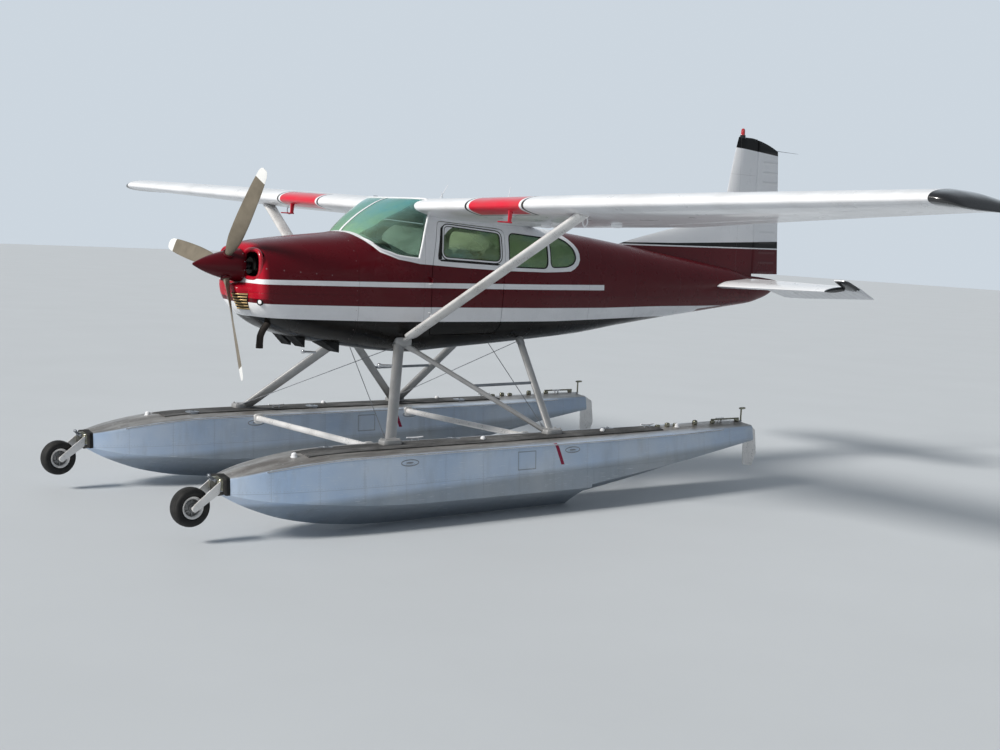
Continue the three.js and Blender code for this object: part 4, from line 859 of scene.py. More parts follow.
def float_skin(name):
    """Painted sheet aluminium of the floats: pale blue, a painted reflection of the sky, that greys
    towards the stern as that painted reflection fades, with plate seams, rivet rows, scuffs, a hatch
    outline and a red mark on the side, a worn grey deck, and a stained stretch under the waterline."""
    f = Finish(name, metallic=0.35, roughness=0.38)
    s, z = f.s, f.z
    out = abs(f.side - FLOAT_Y)
    # The pale blue is a painted reflection of the sky on the sheet, in cloudy shades.
    tone = f.mix(rgb(180, 203, 232), rgb(206, 220, 238), f.noise(1.5, 4.0).ramp(0.35, 0.65))
    frame_line = s.every(0.42)
    lines = (f.seam(frame_line, 0.0, 0.0016) + f.seam(z, -1.09, 0.0014) * s.below(3.9)).at_most(1.0)
    rows = f.rivets(z, abs(frame_line) - 0.012, 0.028, 0.003)
    rows = rows + f.rivets(s, z + 0.85, 0.028, 0.003) + f.rivets(s, z + 1.075, 0.03, 0.003)
    rows = rows.at_most(1.0)
    streak = f.noise(6.0, 5.0, 0.65, (1.0, 1.0, 0.25)).ramp(0.5, 0.8, 0.0, 0.35)
    tone = f.mix(tone, rgb(140, 146, 152), streak)
    wet = z.below(s.along(WATERLINE), 0.03)
    growth = f.noise(4.5, 6.0, 0.7, (1, 1, 0.4)).ramp(0.25, 0.8)
    tone = f.mix(tone, f.mix(rgb(120, 118, 104), rgb(86, 82, 66), growth), wet * 0.5)
    # Painted reflection: the sky's blue fades towards grey aft.
    grey = s.along([(-1.3, 0.0), (-0.2, 0.28), (4.4, 0.4)]) * f.noise(1.2, 3.0).ramp(0.3, 0.7, 0.6, 1.0)
    tone = f.mix(tone, rgb(176, 178, 178), grey)
    tone = f.mix(tone, rgb(96, 100, 106), lines * 0.3)
    tone = f.mix(tone, rgb(150, 156, 164), rows * 0.4)
    deck = z.above(s.along(DECK_EDGE), 0.006)
    worn = f.noise(5.0, 5.0, 0.65, (0.4, 2, 1)).ramp(0.4, 0.7)
    tone = f.mix(tone, f.mix(rgb(116, 113, 110), rgb(170, 168, 166), worn), deck)
    outer, inner = (s.near(1.14, 0.1 + k, 0.003) * z.near(-0.965, 0.077 + k, 0.003) for k in (0.008,
        0.0))
    hatch = (outer - inner).at_least(0.0) * out.above(0.25)
    tone = f.mix(tone, rgb(120, 124, 130), hatch * 0.8)
    mark = s.near(z.along([(-1.03, 1.58), (-0.77, 1.47)]), 0.02) * z.below(-0.83) * z.above(-1.03)
    tone = f.mix(tone, rgb(140, 20, 60), mark * out.above(0.2))
    scratch = f.noise(30.0, 3.0, 0.5, (0.3, 1, 6)).ramp(0.66, 0.7, 0.0, 0.4)
    tone = f.mix(tone, rgb(236, 240, 244), scratch)
    f.raise_by(lines, -0.0012)
    f.raise_by(hatch, -0.001)
    f.raise_by(rows, 0.0007)
    f.raise_by(f.noise(2.6, 2.0), 0.004)
    return f.done(tone, f.noise(7.0, 4.0).ramp(0.3, 0.7, 0.3, 0.5) + wet * 0.2)


def deck_grip(name):
    """Dark non-skid strip: coarse grit, worn to grey in patches."""
    f = Finish(name, roughness=0.9)
    spot = f.node("Mapping", {}, {"Vector": f.place, "Scale": (1, 1, 1)})
    grit = f.node("TexVoronoi", {}, {"Vector": spot, "Scale": 420.0})
    worn = f.noise(3.5, 6.0, 0.7, (0.6, 2, 1)).ramp(0.45, 0.7)
    tone = f.mix(rgb(58, 58, 58), rgb(112, 112, 112), worn)
    tone = f.mix(tone, rgb(140, 132, 120), f.noise(11.0, 6.0, 0.7).ramp(0.6, 0.78, 0.0, 0.4))
    f.raise_by(grit, 0.0012)
    return f.done(tone)


def rubber(name, colour=rgb(14, 14, 15), roughness=0.75, ribs=False):
    """Black rubber with grey dust and fine pores. ribs adds grooves round a tyre's tread and a
    raised ring on its side."""
    f = Finish(name, roughness=roughness)
    tone = f.mix(colour, rgb(92, 88, 82), f.noise(9.0, 6.0, 0.7).ramp(0.45, 0.8, 0.0, 0.22))
    f.raise_by(f.noise(300.0, 2.0), 0.0003)
    if ribs:
        groove = abs(f.side - FLOAT_Y).every(0.017)
        radius = (f.s - WHEEL_S).distance(f.z - WHEEL_Z)
        f.raise_by(groove.near(0.0, 0.0022, 0.001) * radius.above(0.148, 0.002), -0.003)
        f.raise_by(radius.near(0.118, 0.003, 0.002), 0.0015)
    return f.done(tone, f.noise(12.0, 4.0).ramp(0.3, 0.7, roughness * 0.85, roughness * 1.1))


def glazing(name, tint, film):
    """Tinted acrylic: a see-through film mixed with a glossy coat by the angle of view. Pale
    streaks and a band under the roof stand for what the pane mirrors."""
    f = Finish(name, roughness=0.04, ior=1.49)
    see = f.tree.nodes.new("ShaderNodeBsdfTransparent")
    see.inputs[0].default_value = tint
    streak = f.noise(1.7, 5.0, 0.6, (1.0, 1.6, 2.6))
    band = f.z.above(1.2, 0.12)
    haze = streak.ramp(0.38, 0.66, film * 0.3, film * 2.2) + band * 0.12
    rim = f.node("Fresnel", {}, {"IOR": 1.5})
    mix = f.tree.nodes.new("ShaderNodeMixShader")
    f.put(mix.inputs[0], (rim + haze).at_most(1.0))
    f.tree.links.new(see.outputs[0], mix.inputs[1])
    f.tree.links.new(f.shader.outputs[0], mix.inputs[2])
    f.tree.links.new(mix.outputs[0], f.output.inputs[0])
    shades = ((0.4, 0.55, 0.42), (0.6, 0.75, 0.55))
    deep, pale = ((*(a * b for a, b in zip(tint, k)), 1.0) for k in shades)
    tone = f.mix(deep, pale, f.noise(2.0, 3.0).ramp(0.3, 0.7))
    tone = f.mix(tone, rgb(118, 176, 180), (band * 0.8 + streak.ramp(0.5, 0.72, 0.0, 0.6)).at_most(1.0))
    return f.done(tone, f.noise(40.0, 4.0, 0.7).ramp(0.5, 0.8, 0.02, 0.12))


def weave(name, colour, dark, pitch=0.006):
    """Woven seat cloth: threads as the products of sine waves along pairs of directions, in
    cloudy shades, with pale rubbed places."""
    f = Finish(name, roughness=0.92)
    p, q, r = ((v * (2 * PI / pitch)).wave() for v in (f.s, f.y, f.z))
    cloth = p * q + q * r + r * p
    tone = f.mix(dark, colour, cloth.ramp(-1.2, 1.2, 0.25, 1.0))
    tone = f.shift(tone, f.noise(6.0, 4.0).ramp(0.3, 0.75, 0.82, 1.12))
    tone = f.mix(tone, rgb(226, 214, 190), f.noise(180.0, 2.0).ramp(0.62, 0.7, 0.0, 0.3))
    f.raise_by(cloth, 0.0004)
    return f.done(tone)


def lamp(name, colour):
    """Moulded lens: ribbed and glossy, a little lighter in its grooves."""
    f = Finish(name, roughness=0.08, coat=1.0)
    ridge = (f.z * (2 * PI / 0.006)).wave()
    pale = (*(min(1, v * 1.6 + lift) for v, lift in zip(colour, (0.05, 0.02, 0.02))), 1.0)
    tone = f.mix(colour, pale, ridge.ramp(-1, 1))
    f.raise_by(ridge, 0.0005)
    return f.done(tone)


PAINT = body_paint("fuselage_paint")
TAIL_PAINT = tail_paint("tail_paint")
WING_PAINT = wing_paint("wing_paint")
FLAP_PAINT = wing_paint("beaded_white_paint", beads=0.105)
TIP_BLACK = plain_paint("tip_black_paint", rgb(24, 24, 27), 0.22, 0.8)
HORN_PAINT = horn_paint("elevator_horn_paint")
MAROON_PAINT = plain_paint("spinner_maroon_paint", rgb(80, 5, 17), 0.38, 0.12, ior=1.28)
# Painted highlight: the inlet lips take the brighter, sunlit red.
SUNLIT_LIP_PAINT = plain_paint("lip_painted_sunlit_red", PAINTED_SUNLIT_RED, 0.28, 0.5)
RED_PAINT = plain_paint("red_paint", SIGNAL_RED, 0.3)
WHITE_PAINT = plain_paint("white_paint", WHITE, 0.3)
STRUT_METAL = metal("wing_strut_aluminium", rgb(238, 236, 234), 0.3, (6, 6, 6), 0.0, 0.4)
# Painted shade: the float struts' aluminium is darker than the wing struts' to stand for the shade they
# lie in.
SHADED_FLOAT_STRUT_METAL = metal("float_strut_aluminium_painted_shade", rgb(170, 170, 170), 0.34, (8, 8, 8), 0.05, 0.45)
BOW_METAL = metal("worn_bow_metal", rgb(150, 148, 132), 0.2, (12, 12, 12), 0.4, 0.9)
CASTING = metal("bow_casting", rgb(84, 84, 78), 0.3, (20, 20, 20), 0.4, 0.7)
POLISHED = metal("polished_aluminium", rgb(214, 216, 220), 0.16, (20, 20, 20), 0.1)
STEEL = metal("plated_steel", rgb(150, 154, 160), 0.35, (30, 30, 30), 0.3)
RIM_METAL = metal("cast_rim_metal", rgb(150, 150, 150), 0.45, (60, 60, 60), 0.5, 0.6)
SOOT = metal("exhaust_steel", rgb(52, 46, 42), 0.7, (20, 20, 20), 0.6, 0.3)
BRONZE = metal("louvre_bronze", rgb(214, 184, 132), 0.45, (10, 10, 60), 0.35, 0.5)
FLOAT_SKIN = float_skin("float_skin")
DECK_GRIP = deck_grip("deck_grip")
RUBBER = rubber("bumper_rubber")
TYRE = rubber("tyre_rubber", ribs=True)
# Black paint for dark parts, also painted shade on the plate behind the chin's louvres.
DARK = plain_paint("dark_opening", rgb(16, 16, 17), 0.8, 0.0)
GLASS = glazing("tinted_windscreen", (0.7, 0.8, 0.78, 1.0), 0.13)
SIDE_GLASS = glazing("tinted_side_glass", (0.82, 0.87, 0.74, 1.0), 0.17)
TRIM = weave("cabin_trim", rgb(176, 168, 152), rgb(132, 124, 110), 0.004)
SEAT_CLOTH = weave("seat_cloth", rgb(206, 176, 128), rgb(138, 108, 70))
PANEL = plain_paint("panel_black", rgb(30, 31, 33), 0.6, 0.0)
RED_LENS = lamp("red_lens", rgb(150, 22, 30))
GREEN_LENS = lamp("green_lens", rgb(20, 150, 80))
CLEAR_LENS = lamp("clear_lens", rgb(220, 226, 230))


# Fuselage skins
def thick_skin(s, phi, table, wall):
    """Thick tube: outer rings aft, then inner rings forward, closed both ways. s is stations by angles."""
    y, z = section(s, phi, table)
    outer = place(s, y, z)
    y, z = section(s, phi, table, -wall)
    inner = place(s, y, z)[::-1]
    return grid(np.concatenate([outer, inner]), around_rows=True)


def split_finish(shell, columns_count, rows_outer):
    """The faces between inner rings get the second finish."""
    points, quads, fans, _ = shell
    row = np.minimum(quads.min(1) // columns_count, quads.max(1) // columns_count)
    wraps = (quads.max(1) // columns_count - quads.min(1) // columns_count) > 1
    inner = (row >= rows_outer) & ~wraps
    return [(points, quads[~inner], fans, 0), (points, quads[inner], fans[:0], 1)]


DOOR_OUTLINE = [
    [0.8, 0.08], [1.6, 0.095], [1.67, 0.16], [1.705, 0.75], [1.7, 1.1], [1.64, 1.122],
    [0.93, 1.166], [0.865, 1.165], [0.835, 0.95], [0.8, 0.72],
]
DOOR_WINDOW = [
    [0.95, 0.805], [1.61, 0.78], [1.66, 0.82], [1.65, 1.072], [1.612, 1.096],
    [0.965, 1.143], [0.92, 1.118], [0.905, 0.85],
]
SIDE_WINDOW = [
    [1.79, 0.752], [2.262, 0.745], [2.29, 0.775], [2.288, 1.026], [2.258, 1.053],
    [1.79, 1.083], [1.752, 1.055], [1.758, 0.78],
]
REAR_WINDOW = [
    [2.358, 0.757], [2.59, 0.766], [2.69, 0.798], [2.738, 0.86], [2.705, 0.95],
    [2.615, 1.02], [2.5, 1.062], [2.362, 1.048], [2.334, 1.018], [2.334, 0.782],
]
door_outline = rounded(DOOR_OUTLINE, 0.05)
door_window = rounded(DOOR_WINDOW, 0.05)
side_window = rounded(SIDE_WINDOW, 0.05)
rear_window = rounded(REAR_WINDOW, 0.05)
RING = 144


def cabin_shell():
    """Cabin skin: rings from the door posts' front edge to the tailcone, with openings cut."""
    phi = angles(RING)
    _, z = section(np.full((1, RING), 0.7), phi, BODY_ROWS)
    front = columns(z, POST_FRONT)[0]
    u = np.linspace(0, 1, 84)[:, None]
    s = front + (CABIN_END - front) * u
    shell = thick_skin(s, phi, BODY_ROWS, CABIN_WALL)
    obj = piece("cabin_skin", split_finish(shell, RING, 84), [PAINT, TRIM], nodes=["cabin"], sharp=28)
    cutters = []
    for outline in (door_outline, side_window, rear_window):
        for y0, y1 in ((0.3, 0.7), (-0.7, -0.3)):
            cutters.append(thing("cutter", [slab(outline, y0, y1)], [PAINT, TRIM]))
    carve(obj, cutters, sharp=28)


def deck_shell():
    """Skin between the firewall and the door posts, under the windscreen, closed at the firewall."""
    phi = angles(RING)
    s = 0.0004 + (0.66 - 0.0004) * np.linspace(0, 1, 26)[:, None] + 0 * phi
    shell = thick_skin(s, phi, NOSE_ROWS, 0.012)
    piece("forward_deck", split_finish(shell, RING, 26), [PAINT, TRIM])


def apron():
    """Skin below the glass: the windscreen's own surface carried down into the deck."""
    v = np.linspace(-1, 1, 90)[None, :]
    w = np.linspace(0, 1, 8)[:, None]
    outer, inner = (screen_rows(v, w, k, foot_drop=0.14, height=0.138) for k in (0.0, -0.02))
    piece("windscreen_foot", [plate(outer, inner)], PAINT)


def windscreen():
    """Glass from post to post between its lower edge and the roof, 5 mm thick."""
    v = np.linspace(-1, 1, 120)[None, :]
    w = np.linspace(0, 1, 40)[:, None]
    pane = plate(screen_rows(v, w, -0.004), screen_rows(v, w, -0.0095))
    piece("windscreen_glass", [pane], GLASS, nodes=["windscreen"])
    # White strip up the middle, and the moulding all round the glass
    t = np.linspace(0, 1, 30)
    z0 = float(screen_foot(np.array([0.0]))[0])
    z = z0 + (SCREEN_TOP - z0) * t
    y = np.linspace(-1, 1, 5) * 0.014
    s = screen(np.zeros(30), z)[0]
    outer = place(s[:, None] - 0.006 + 12.0 * y[None, :] ** 2, y[None, :], z[:, None] + 0.002)
    inner = place(s[:, None] + 0.006 + 0 * y[None, :], y[None, :], z[:, None] - 0.002)
    v = np.linspace(-1, 1, 160)[None, :]
    foot, head = (screen_rows(v, np.full((1, 1), k), 0.001)[0] for k in (0.0, 1.0))
    shells = [plate(outer, inner), tube(foot, 0.011, 8), tube(head, 0.009, 8)]
    for side in (-1.0, 1.0):
        edge = screen_rows(np.full((1, 1), side), w, 0.001)[:, 0]
        shells.append(tube(edge, 0.011, 8, up=(1, 0, 0)))
    piece("windscreen_frame", shells, WHITE_PAINT)


def brow():
    """Roof edge over the windscreen: the topmost slice drawn in over the roof in a rounded step."""
    steps = [(-0.02, 0.03), (-0.004, 0.008), (0.001, 0.004), (0.006, 0.008), (0.011, 0.03),
             (0.014, 0.075), (0.016, 0.2), (0.017, 0.4)]
    a = np.linspace(-1, 1, 100) * screen_limit(np.array(SCREEN_TOP))
    rows = []
    for rise, inset in steps:
        s, y = screen(a, np.full(a.shape, SCREEN_TOP), -inset)
        rows.append(place(s, y, SCREEN_TOP + rise))
    for row, rise in ((-1, 0.008), (0, -0.02)):
        rows.append(place(0.86, rows[: len(steps)][row][:, 1] * 0.9, SCREEN_TOP + rise))
    piece("roof_brow", [closed_strip(np.array(rows))], WHITE_PAINT)


def glare_shield():
    """Dark cover of the deck under the glass: it starts behind the windscreen's foot and follows
    the deck's crown a little above it."""
    v = np.linspace(-1, 1, 60)[None, :]
    t = np.linspace(0, 1, 14)[:, None]
    s0, y0 = screen(v * 1.25, np.full(v.shape, 1.05), -0.03)
    s = s0 + (0.4 - s0) * t * (s0 < 0.4)
    y = y0 * (1 + 0 * t)
    z = top_z(s, y) + 0.004
    shield = plate(place(s, y, z), place(s, y, z - 0.01))
    piece("glare_shield", [shield], PANEL)


def side_plate(inner, outer, outer_depth, inner_depth, rings, **closing):
    """Plate on the body side between two outlines: rings run from the inner outline to the outer
    one on the outer face, and back on the inner face."""
    r = np.concatenate([np.linspace(0, 1, rings), np.linspace(1, 0, rings)])[:, None, None]
    p = inner + (outer - inner) * r
    depth = np.repeat([outer_depth, inner_depth], rings)[:, None]
    y = side_y(p[..., 0], p[..., 1]) - depth
    return grid(place(p[..., 0], y, p[..., 1]), **closing)


def disk(outline, outer_depth, inner_depth):
    """Pane inside an outline, whose rings shrink to the middle."""
    return side_plate(outline.mean(0), outline, outer_depth, inner_depth, 10, caps=True)


def band(inner, outer, outer_depth, inner_depth):
    """Frame between two outlines."""
    return side_plate(inner, outer, outer_depth, inner_depth, 22, around_rows=True)


def bead(outline, depth, radius):
    """Rubber or trim bead along an outline on the body side: a small ring at each point."""
    y = side_y(outline[:, 0], outline[:, 1]) - depth
    return tube(place(outline[:, 0], y, outline[:, 1]), radius, 8, closed=True, up=(0, 1, 0))


# Outer and inner face of the side panes, behind the body side
PANE_DEPTHS = 0.006, 0.0115
# Outlines of the dark channel ahead of the door's pane and under it
CHANNELS = [
    [[0.93, 1.125], [0.9, 1.1], [0.868, 0.84], [0.872, 0.8], [0.915, 0.808], [0.9, 0.86], [0.917, 1.1]],
    [[0.885, 0.802], [0.9, 0.788], [1.6, 0.762], [1.645, 0.772], [1.6, 0.781], [0.95, 0.806]],
]
HINGE_HEIGHTS = 0.27, 0.6


def doors_and_windows():
    """Doors with glass, frames, seals, handles and hinges, and the fixed windows behind them."""
    skin = band(door_window, grown(door_outline, -0.007), 0.0, CABIN_WALL - 0.002)
    both("door_skin", [skin], PAINT, "door", ["door"], sharp=28)
    glass = disk(grown(door_window, -0.0005), *PANE_DEPTHS)
    both("door_glass", [glass], SIDE_GLASS, "door", ["window_door"])
    inner_frame = grown(door_window, -0.022)
    frame = band(inner_frame, grown(door_window, 0.004), -0.003, 0.006)
    both("door_window_frame", [frame], WHITE_PAINT, "door")
    seals = [bead(door_window, -0.002, 0.005), bead(inner_frame, -0.001, 0.004)]
    both("door_window_seal", seals, RUBBER, "door")
    channels = [disk(rounded(outline, 0.012, 160), -0.0022, 0.002) for outline in CHANNELS]
    both("door_window_channel", channels, RUBBER, "door")
    y = float(side_y(1.56, 0.66))
    handle = [block((1.56, y + 0.012, 0.655), (0.055, 0.008, 0.011), 3.5, 12),
              block((1.6, y + 0.002, 0.655), (0.03, 0.007, 0.02), 4, 12)]
    both("door_handle", handle, POLISHED, "door")
    leaves, lugs = [], []
    for z in HINGE_HEIGHTS:
        ends = [place(DOOR_HINGE_S, DOOR_HINGE_Y, z + k) for k in (-0.022, 0.022)]
        leaves += [rod(*ends, 0.0115, 16)]
        leaves += [block((0.822, 0.541, z), (0.02, 0.004, 0.022), 5, 8)]
        for k in (-0.0285, 0.0285):
            lugs += [block((0.783, 0.546, z + k), (0.0165, 0.011, 0.0055), 6, 8)]
    both("door_hinge_leaf", leaves, PAINT, "door")
    both("door_hinge_lugs", lugs, PAINT)
    for name, outline in (("side", side_window), ("rear", rear_window)):
        glass = disk(outline, *PANE_DEPTHS)
        both(f"{name}_glass", [glass], SIDE_GLASS, nodes=[f"window_{name}"])
    seals = [bead(outline, 0.001, 0.006) for outline in (side_window, rear_window)]
    both("window_seals", seals, RUBBER)


def bulkheads():
    """Rear wall of the cabin, the floor and the firewall."""
    phi = angles(96)
    r = np.linspace(0, 1, 10)[:, None]
    shells = []
    for station, table in ((2.945, BODY_ROWS), (0.012, NOSE_ROWS)):
        y, z = section(np.full((1, 96), station), phi, table, -0.012)
        face = place(station, y * r, z * r + WIDEST * (1 - r))
        back = place(station + 0.008, (y * r)[::-1], (z * r + WIDEST * (1 - r))[::-1])
        shells.append(grid(np.concatenate([face, back]), caps=True))
    s = np.linspace(0.03, 2.2, 30)[:, None]
    t = np.linspace(-1, 1, 20)[None, :]
    body, nose = side_y(np.maximum(s, 0.64), 0 * s), side_y(np.minimum(s, 0.7), 0 * s, NOSE_ROWS)
    half = np.minimum(body, nose) - 0.05
    top, low = (place(s, t * half, k + 0.055 * (s - 0.03) / 2.17) for k in (0.02, 0.005))
    shells.append(plate(top, low))
    piece("cabin_floor_and_walls", shells, TRIM)


def tailcone():
    """Tailcone: closed rings from the cabin's end to the point under the rudder."""
    phi = angles(RING)
    s = np.concatenate([np.linspace(CABIN_END + HAIR, 5.8, 60), np.linspace(5.84, 6.42, 24)])
    s = s[:, None] + 0 * phi
    y, z = section(s, phi, BODY_ROWS)
    piece("tailcone_skin", [grid(place(s, y, z), caps=True)], PAINT, nodes=["tailcone"])


def cowl():
    """Cowl: a thick shell whose front closes round the shaft, with two cooling inlets, each with a
    rolled lip, and the chin under the spinner."""
    phi = angles(RING)
    lead = [(-0.955, 0.0), (-0.957, 0.2), (-0.9585, 0.4), (-0.959, 0.6), (-0.9585, 0.8)]
    y1, z1 = section(np.full((1, RING), -0.955), phi, NOSE_ROWS)
    hole = 0.062 * np.cos(phi), PROP_AXIS_Z + 0.062 * np.sin(phi)

    def front(s, t, y, z):
        """Ring of the front wall, a part t of the way from the shaft's hole to a given ring."""
        return place(s, hole[0] + (y - hole[0]) * t, hole[1] + (z - hole[1]) * t)[0]

    rows = [front(s, t, y1, z1) for s, t in lead]
    stations = np.concatenate([np.linspace(-0.955, -0.85, 10), np.linspace(-0.83, -0.0004, 34)])
    y, z = section(stations[:, None] + 0 * phi, phi, NOSE_ROWS)
    # The outer skin runs aft from the nose bowl, and the inner one forward again
    outer = place(stations[:, None], y, z)
    y, z = section(stations[::-1][:, None] + 0 * phi, phi, NOSE_ROWS, -0.014)
    inner = place(np.maximum(stations[::-1][:, None], -0.935), y, z)
    y, z = inner[-1][:, 1], inner[-1][:, 2] - KEEL_DEPTH
    back = [front(-0.93, t, y, z) for t in (0.8, 0.5, 0.2, 0.0)]
    shell = grid(np.concatenate([np.array(rows), outer, inner, np.array(back)]), around_rows=True)
    obj = piece("cowl_skin", [shell], [PAINT], nodes=["cowl"], sharp=40)
    cutters, lips = [], []
    a = 2 * PI * np.arange(64) / 64
    for side in (1, -1):
        y, z = side * (0.205 + 0.152 * power(np.cos(a), 0.7)), 0.702 + 0.128 * power(np.sin(a), 0.7)
        cutter = grid(np.stack([place(s, y, z) for s in (-1.1, -0.9)]), caps=True)
        cutters.append(thing("cutter", [cutter], [PAINT]))
        lips.append(tube(place(-0.944, y, z), 0.02, 18, closed=True, up=(1, 0, 0)))
    carve(obj, cutters, sharp=40)
    s = np.array([-1.05, -1.049, -1.045, -1.038, -1.02, -0.995, -0.965, -0.93, -0.9, -0.8, -0.7])
    draw_in = np.array([0.6, 0.82, 0.93, 0.98, 1, 1, 1, 1, 1, 1, 1])[:, None]
    y, z = section(s[:, None] + 0 * phi, phi, CHIN_ROWS)
    z = 0.484 + (z - 0.484) * draw_in
    chin = grid(place(s[:, None], y * draw_in, z), caps=True)
    piece("cowl_chin", [chin], PAINT, sharp=45)
    # The lips are coloured in the sunlit red as a painted highlight.
    piece("cooling_inlet_lips", lips, SUNLIT_LIP_PAINT, sharp=45)


deck_shell()
cabin_shell()
apron()
windscreen()
brow()
glare_shield()
doors_and_windows()
bulkheads()
tailcone()
cowl()


# Wing. Ordinates as parts of the chord: place, upper, lower
AEROFOIL = [
    [0, 0, 0], [0.0125, 0.0235, -0.0185], [0.05, 0.0443, -0.0301], [0.12, 0.062, -0.039],
    [0.25, 0.0767, -0.0422], [0.4, 0.078, -0.038], [0.6, 0.0636, -0.0276],
    [0.8, 0.0375, -0.015], [0.93, 0.0148, -0.006], [1, 0.0016, -0.0016],
]
WING_BREAK_Y = 2.54
CAP_Y = 5.937
TIP_Y = 6.12
FLAP_HINGE = 0.72
FLAP_Y = (0.6, 2.5)
AILERON_HINGE = 0.76
AILERON_Y = (2.6, 5.3)
RUNNING_GAP = 0.006
DIHEDRAL = 0.0302


def foil(x):
    """Upper and lower ordinates, read smoothly over the square root of the chord so that the
    nose comes out round."""
    rows = np.asarray(AEROFOIL)
    root = np.sqrt(rows[:, 0])
    r = np.sqrt(np.clip(x, 0, 1))
    return curve(r, root, rows[:, 1]), curve(r, root, rows[:, 2])


def wing_frame(y):
    """Leading edge station and height, chord and incidence at a distance to port."""
    y = np.asarray(y, float)
    outer = np.clip((y - WING_BREAK_Y) / (CAP_Y - WING_BREAK_Y), 0, None)
    return 0.61 + 0.129 * outer, 1.271 + DIHEDRAL * y, 1.62 - 0.54 * outer, 0.0785 - 0.0485 * outer


def wing_point(y, x, h):
    """Point at a distance to port, a part of the chord aft and a part of the chord up."""
    s0, z0, chord, tilt = wing_frame(y)
    return place(s0 + chord * (x + h * tilt), y, z0 + chord * (h - x * tilt))


def wing_block(ys, front, rear, count=26, root=False):
    """Length of wing between two parts of the chord: rings run over the top from the rear to the
    front and back underneath. At the root each point moves in to the cabin side."""
    t = (1 - np.cos(PI * np.linspace(0, 1, count))) / 2
    x = front + (rear - front) * t
    upper, lower = foil(x)
    skip = 1 if front == 0 else 0
    xs = np.concatenate([x[::-1], x[skip:]])
    hs = np.concatenate([upper[::-1], lower[skip:]])
    rows = wing_point(np.asarray(ys, float)[:, None], xs[None, :], hs[None, :])
    if root:
        first = rows[0]
        s, z = MIDDLE_STATION - first[:, 0], first[:, 2] - KEEL_DEPTH
        first[:, 1] = np.clip(side_y(s, z) - 0.006, 0.3, 0.56)
    return grid(rows, caps=True)


def trailing_surface(ys, hinge):
    """Flap or aileron: a round nose about the hinge line, then the lower and upper surfaces."""
    upper, lower = (float(v) for v in foil(hinge))
    middle, radius = (upper + lower) / 2, (upper - lower) / 2
    a = PI / 2 + PI * np.linspace(0, 1, 12)
    back = np.linspace(hinge, 1, 14)[1:]
    u, l = foil(back)
    # Near the hinge the surfaces start from the nose and join the wing's own lines aft of it
    xs = np.concatenate([hinge + radius * np.cos(a), back, back[::-1]])
    hs = np.concatenate([middle + radius * np.sin(a), l, u[::-1]])
    return grid(wing_point(ys[:, None], xs[None, :], hs[None, :]), caps=True)


# Tip sections: distance to port, part of the chord, shift aft, drop, part of the thickness
TIP_ROWS = [
    [CAP_Y + HAIR, 1, 0, 0, 1], [6.0, 0.99, 0.01, 0.008, 0.95], [6.07, 0.94, 0.05, 0.022, 0.75],
    [6.105, 0.86, 0.1, 0.036, 0.5], [TIP_Y, 0.74, 0.17, 0.048, 0.12],
]


def wing_tip():
    """Drooped black tip: the end section shrinks, moves aft and drops along a rounded outline."""
    t = np.linspace(0, 1, 16)
    y = CAP_Y + HAIR + (TIP_Y - CAP_Y - HAIR) * np.sin(t * PI / 2)
    part, shift, droop, thick = (v[:, None] for v in columns(y, TIP_ROWS))
    c = (1 - np.cos(PI * np.linspace(0, 1, 30))) / 2
    upper, lower = foil(c)
    x = np.concatenate([c[::-1], c[1:]])[None, :]
    h = np.concatenate([upper[::-1], lower[1:]])[None, :] * thick
    s0, z0, chord, tilt = (float(v) for v in wing_frame(CAP_Y))
    y = y[:, None]
    s = s0 + shift + chord * part * x
    z = z0 + (y - CAP_Y) * DIHEDRAL + chord * (h - (x * part + shift / chord) * tilt) - droop
    return grid(place(s, y, z), caps=True)


def wings():
    """Wings, in lengths round the flap and aileron bays, with tips, flaps, ailerons, navigation
    lamps and filler caps."""
    shells = [
        wing_block(np.concatenate([[0.44, 0.56], np.linspace(0.64, 2.55, 16)]), 0, 0.685, root=True),
        wing_block(np.linspace(2.55, CAP_Y, 22), 0, 0.73),
        wing_block([0.44, 0.52, FLAP_Y[0] - HAIR], 0.684, 1, 12, root=True),
        wing_block([FLAP_Y[1] + HAIR, AILERON_Y[0] - HAIR], 0.684, 1, 12),
        wing_block(np.linspace(AILERON_Y[1] + HAIR, CAP_Y, 5), 0.729, 1, 12),
    ]
    both("wing_skin", shells, WING_PAINT, nodes=["wing"])
    both("wing_tip_cap", [wing_tip()], TIP_BLACK, nodes=["wing_tip"])
    moving = (("flap", FLAP_Y, FLAP_HINGE, 12), ("aileron", AILERON_Y, AILERON_HINGE, 14))
    for name, ends, hinge, count in moving:
        ys = np.linspace(ends[0] + RUNNING_GAP, ends[1] - RUNNING_GAP, count)
        both(f"{name}_skin", [trailing_surface(ys, hinge)], FLAP_PAINT, name, [name])
    lens = block((1.19, 5.975, 1.452), (0.05, 0.022, 0.016), 2.4, 14)
    piece("tip_lamp_left", [lens], RED_LENS)
    piece("tip_lamp_right", [mirrored(lens)], GREEN_LENS)
    top = wing_point(0.95, 0.32, float(foil(0.32)[0]))
    profile = [[POINT, 0.009], [0.03, 0.009], [0.036, 0.006], [0.037, -0.004], [POINT, -0.004]]
    filler = [turned(profile, top, (0, 0, 1), 32),
              rounded_block(top + [0, 0, 0.011], (0.028, 0.004, 0.004), 4, 8)]
    both("fuel_filler", filler, POLISHED)


